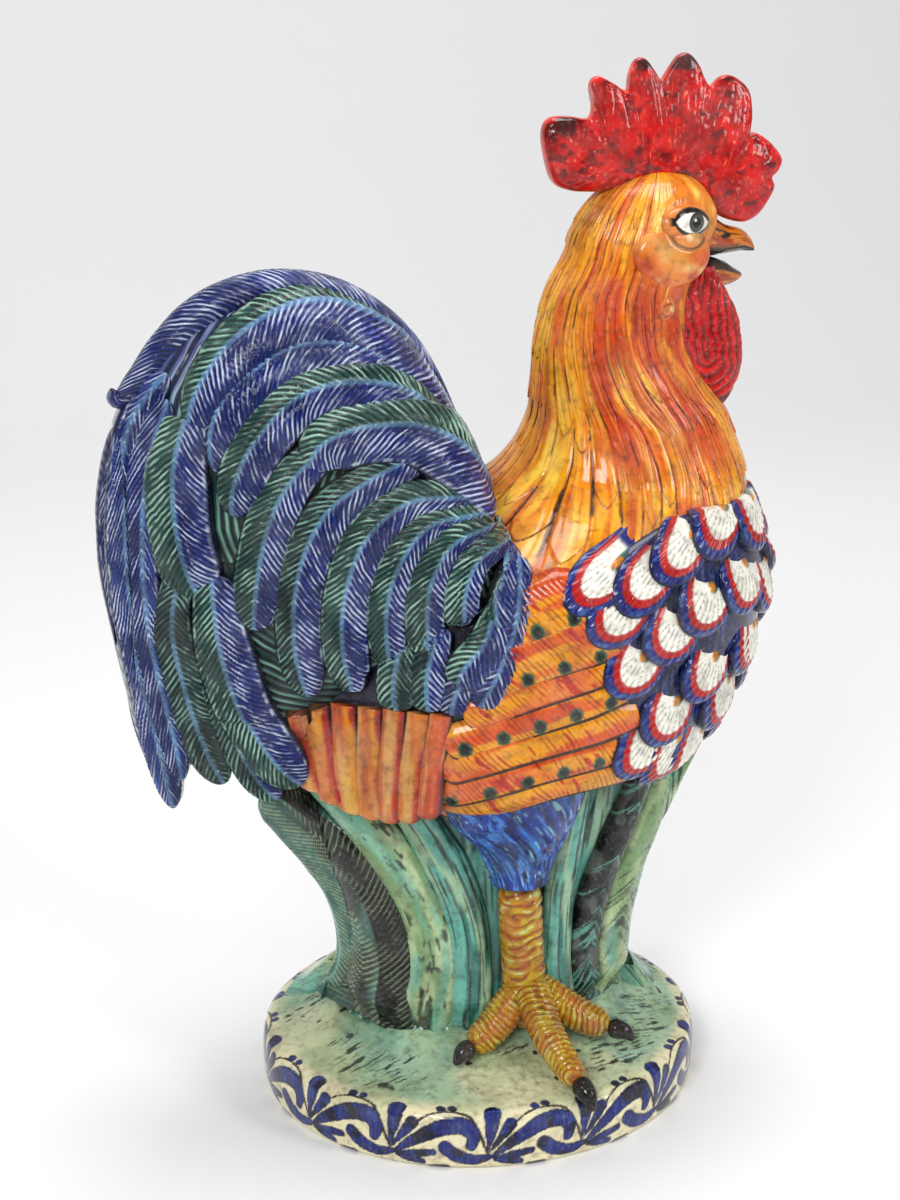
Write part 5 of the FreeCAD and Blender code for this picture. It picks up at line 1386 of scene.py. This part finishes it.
def make_mound(name, centre, size, glaze):
    """Grassy rise that runs out flat before the rim."""
    P, A = spun(np.concatenate([np.linspace(0.01, 1, 90), [1.0, 0.5]]), 200)
    X, Y = centre[0] + size[0] * P * np.cos(A), centre[1] + size[1] * P * np.sin(A)
    inside = np.minimum(1, 0.93 / np.hypot(X / BASE_LONG, Y / BASE_WIDE))
    X, Y = X * inside, Y * inside
    slope = ramp(-np.hypot(X / BASE_LONG, Y / BASE_WIDE), -0.96, -0.72)
    Z = BASE_TOP + size[2] * np.clip(1 - P ** 2, 0, 1) ** 1.3 * slope + 0.8 * cloud(X * 0.1, Y * 0.1, 0, 190)
    Z[-2:] = BASE_TOP - 3
    paint = brush(tint("leaf", P), X, Y, (("aqua", 0.8, 0.03, 0.03, 192, 0.3, 0.6),))
    paint = brush(paint, X, Y + X, (
        ("teal", 0.4, 0.08, 0.3, 191, 0.5, 0.7), ("ink_green", 0.75, 0.12, 0.8, 193, 0.66, 0.74)))
    skin(name + "_glazed", np.stack([X, Y, Z], -1), paint, glaze, (name,))


def base_paint(U, V, X, Y):
    """Cream ground, washes and dashes on the deck, and a running scroll round the rim."""
    deck, spot = ramp(V, 38, 52), ramp(noise(X * 0.16, Y * 0.16, seed=188), 0.90, 0.93)
    cluster = marks(X * 0.035, Y * 0.035, 186, 0.54, 0.64)
    paint = lay(tint("cream", U), "leaf", 0.35 * deck)
    paint = lay(paint, "aqua", 0.55 * deck * ramp(cloud(X * 0.02, Y * 0.02, 0, 182), 0.40, 0.66))
    paint = brush(paint, X, Y, (("moss", 0.4 * deck, 0.03, 0.03, 183, 0.5, 0.72),))
    paint = brush(paint, U, V, (("leaf", 0.4 * ramp(V, 22, 40), 0.05, 0.05, 184, 0.35, 0.6),))
    paint = brush(paint, X, Y, (("teal", 0.35 * ramp(V, 74, 100), 0.04, 0.04, 185, 0.35, 0.65),))
    paint = brush(paint, X, Y - X * 0.3, (
        ("ink_green", 0.85 * ramp(V, 46, 54) * cluster, 0.11, 0.75, 187, 0.64, 0.70),))
    paint = lay(paint, "ink_green", 0.85 * ramp(V, 50, 56) * spot)
    rim, total = V < 56, np.zeros(U.shape)
    u, v = U[rim], V[rim] / RIM_SHARE
    ragged = 0.7 * noise(u * 0.9, v * 0.25, seed=189) - 0.35
    dry = marks(v * 0.05, u * 0.8, 194, 0.42, 0.7)
    pool = marks(u * 0.12, v * 0.12, 195, 0.5, 0.7)
    for name, points in RIM_STROKES:
        inside = stroke_reach(u, v, points)
        share = ramp(inside + ragged, -0.25, 0.35)
        ink = tint(name, u)
        if name == "cobalt":
            ink = lay(ink, "sky", 0.22 * dry * ramp(inside, 0.4, 1.2))
            ink = lay(ink, "navy", np.maximum(ramp(-inside, -1.4, -0.2), pool))
        paint[rim] = mixed(paint[rim], ink, share)
        total[rim] = np.maximum(total[rim], share)
    return paint, total


# Stage, light, camera

PAPER_HALF, SWEEP_START, SWEEP_RADIUS = 4.0, 1.3, 0.9


def make_stage():
    """Pale paper: a floor that sweeps up behind the bird."""
    g = Graph("studio_paper", 0.6, 0.0)
    grain = g.noise(g.place(), 3.0, 2.0)
    g.put(g.shader.inputs["Base Color"], g.mix(grain, (0.93, 0.93, 0.935), (0.95, 0.95, 0.955)))
    g.put(g.shader.inputs["Roughness"], 0.7)
    bend = [(SWEEP_START + SWEEP_RADIUS * math.sin(a), SWEEP_RADIUS - SWEEP_RADIUS * math.cos(a))
            for a in (k / 12 * PI / 2 for k in range(1, 13))]
    profile = [(-2.2, 0.0), (SWEEP_START, 0.0)] + bend + [(2.2, 3.5)]
    verts = [(x, y, z) for y, z in profile for x in (-PAPER_HALF, PAPER_HALF)]
    faces = [(2 * k, 2 * k + 1, 2 * k + 3, 2 * k + 2) for k in range(len(profile) - 1)]
    mesh = bpy.data.meshes.new("studio_sweep")
    mesh.from_pydata(verts, [], faces)
    mesh.polygons.foreach_set("use_smooth", [True] * len(faces))
    mesh.materials.append(g.mat)
    linked("studio_sweep", mesh)


def make_light(name, place, size, power):
    """Area lamp that looks at the middle of the bird."""
    lamp = bpy.data.lights.new(name, "AREA")
    lamp.shape = "RECTANGLE"
    lamp.size, lamp.size_y = size
    lamp.energy = power
    made = linked(name, lamp)
    made.location = place
    made.rotation_euler = (Vector((0, 0, 0.3)) - Vector(place)).to_track_quat("-Z", "Y").to_euler()


def make_studio():
    world = bpy.data.worlds.new("studio_air")
    bpy.context.scene.world = world
    world.use_nodes = True
    back = world.node_tree.nodes["Background"]
    back.inputs[0].default_value = (1.0, 1.0, 1.0, 1.0)
    back.inputs[1].default_value = 0.45
    make_light("key_window", (-1.1, -1.6, 1.7), (0.7, 0.7), 25)
    make_light("front_window", (1.4, -1.3, 1.2), (0.45, 0.8), 11.5)
    make_light("top_window", (0.1, 0.2, 1.9), (0.8, 0.8), 15)
    camera = bpy.data.cameras.new("photo_camera")
    camera.lens = 69.0
    camera.sensor_width = 36.0
    camera.clip_end = 30.0
    made = linked("photo_camera", camera)
    made.location = (-0.3217, -1.1218, 0.690)
    made.rotation_euler = (math.radians(90 - 19.28), 0.0, math.radians(-15.2))
    bpy.context.scene.camera = made
    bpy.context.scene.view_settings.view_transform = "Standard"


make_stage()
make_studio()
FEATHER_GLAZE = feather_material("feather_glaze")
for make in (make_tail, make_core, make_crest):
    make(FEATHER_GLAZE)
PAINT_GLAZE = painted_material("painted_glaze")
for make in (make_body, make_wing, make_saddle, make_plate, make_scales, make_neck, make_comb, make_wattle,
             make_beak, make_face, make_legs, make_fronds, make_trunk):
    make(PAINT_GLAZE)
make_base(PAINT_GLAZE, clay_material())
